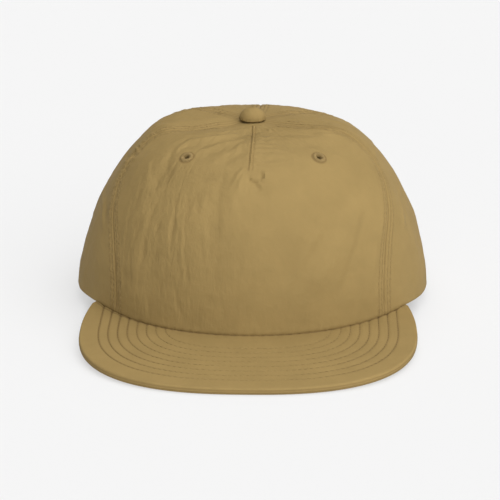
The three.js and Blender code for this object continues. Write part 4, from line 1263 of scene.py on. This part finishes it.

# Studio
# A white table that glows a little with painted light, and a painted shadow where the glow fades out under
# the cap. The room is white at the level of the eye and dim above. Four broad soft lights shine from the
# front, from above and from the wearer's left. The camera stands low in front of the cap with a long lens.
TABLE_SIZE = 14
TABLE_WHITE = (0.24, 0.24, 0.24)
TABLE_GLOW = 0.58
SHADOW_WITHIN = 0.55
GLOW_BEYOND = 0.95
ROOM_WHITE = 1.0
ROOM_DIM = 0.05
WHITE_BELOW = 0.13
DIM_ABOVE = 0.22
LIGHTS = {
    "key_light": ((0.8, -0.94, 1.7), 1.6),
    "side_light": ((0.95, -0.9, 0.9), 0.6),
    "top_light": ((0.15, 0.25, 1), 2.0),
    "low_light": ((0.25, -1, 0.3), 1.75),
}
LIGHT_SPREAD = math.radians(80)
CAMERA_TARGET = Vector((-0.000047, 0.033737, 0.023079))
CAMERA_DISTANCE = 1.2
CAMERA_ELEVATION = math.radians(18.068)
CAMERA_YAW = math.radians(1.429)
CAMERA_LENS = 155.52
CAMERA_SHIFT = -0.0048

deselect_all()
bpy.ops.mesh.primitive_plane_add(size=TABLE_SIZE, location=(0, 0, 0))
table = bpy.context.object
table.name = "table"
table_finish, table_shader, table_place = new_finish("white_table", TABLE_WHITE, 0.9, 0.1)
# Painted light: the table glows, and the glow fades out under the cap into a painted shadow.
table_shader.inputs["Emission Color"].default_value = (1, 1, 1, 1)
half_x, half_y = ((cad_box[1][i] - cad_box[0][i]) / 2 for i in range(2))
cap_share = add_node(table_finish, "ShaderNodeMapping", {"Scale": (1 / half_x, 1 / half_y, 0)})
from_middle = add_node(table_finish, "ShaderNodeVectorMath", operation="LENGTH")
glow = add_node(table_finish, "ShaderNodeMapRange",
                {"From Min": SHADOW_WITHIN, "From Max": GLOW_BEYOND, "To Min": 0, "To Max": TABLE_GLOW})
link_table = table_finish.node_tree.links.new
link_table(table_place.outputs["Object"], cap_share.inputs["Vector"])
link_table(cap_share.outputs["Vector"], from_middle.inputs[0])
link_table(from_middle.outputs["Value"], glow.inputs["Value"])
link_table(glow.outputs["Result"], table_shader.inputs["Emission Strength"])
table.data.materials.append(table_finish)

for name, (place, power) in LIGHTS.items():
    bpy.ops.object.light_add(type="SUN", location=place)
    light = bpy.context.object
    light.name = name
    light.data.energy, light.data.angle = power, LIGHT_SPREAD
    light.rotation_euler = Vector(place).to_track_quat("Z", "Y").to_euler()

room = bpy.data.worlds.new("room")
bpy.context.scene.world = room
room.use_nodes = True
direction = add_node(room, "ShaderNodeTexCoord")
parts = add_node(room, "ShaderNodeSeparateXYZ")
fade = add_node(room, "ShaderNodeMapRange",
                {"From Min": WHITE_BELOW, "From Max": DIM_ABOVE, "To Min": ROOM_WHITE, "To Max": ROOM_DIM})
background = room.node_tree.nodes["Background"]
background.inputs["Color"].default_value = (1, 1, 1, 1)
link_room = room.node_tree.links.new
link_room(direction.outputs["Generated"], parts.inputs["Vector"])
link_room(parts.outputs["Z"], fade.inputs["Value"])
link_room(fade.outputs["Result"], background.inputs["Strength"])

back = Vector((
    math.sin(CAMERA_YAW) * math.cos(CAMERA_ELEVATION),
    -math.cos(CAMERA_YAW) * math.cos(CAMERA_ELEVATION),
    math.sin(CAMERA_ELEVATION),
))
bpy.ops.object.camera_add(location=CAMERA_TARGET + back * CAMERA_DISTANCE)
camera = bpy.context.object
camera.rotation_euler = (-back).to_track_quat("-Z", "Y").to_euler()
camera.data.lens = CAMERA_LENS
camera.data.sensor_width = 36
camera.data.shift_x = CAMERA_SHIFT
bpy.context.scene.camera = camera
bpy.context.scene.view_settings.view_transform = "Standard"
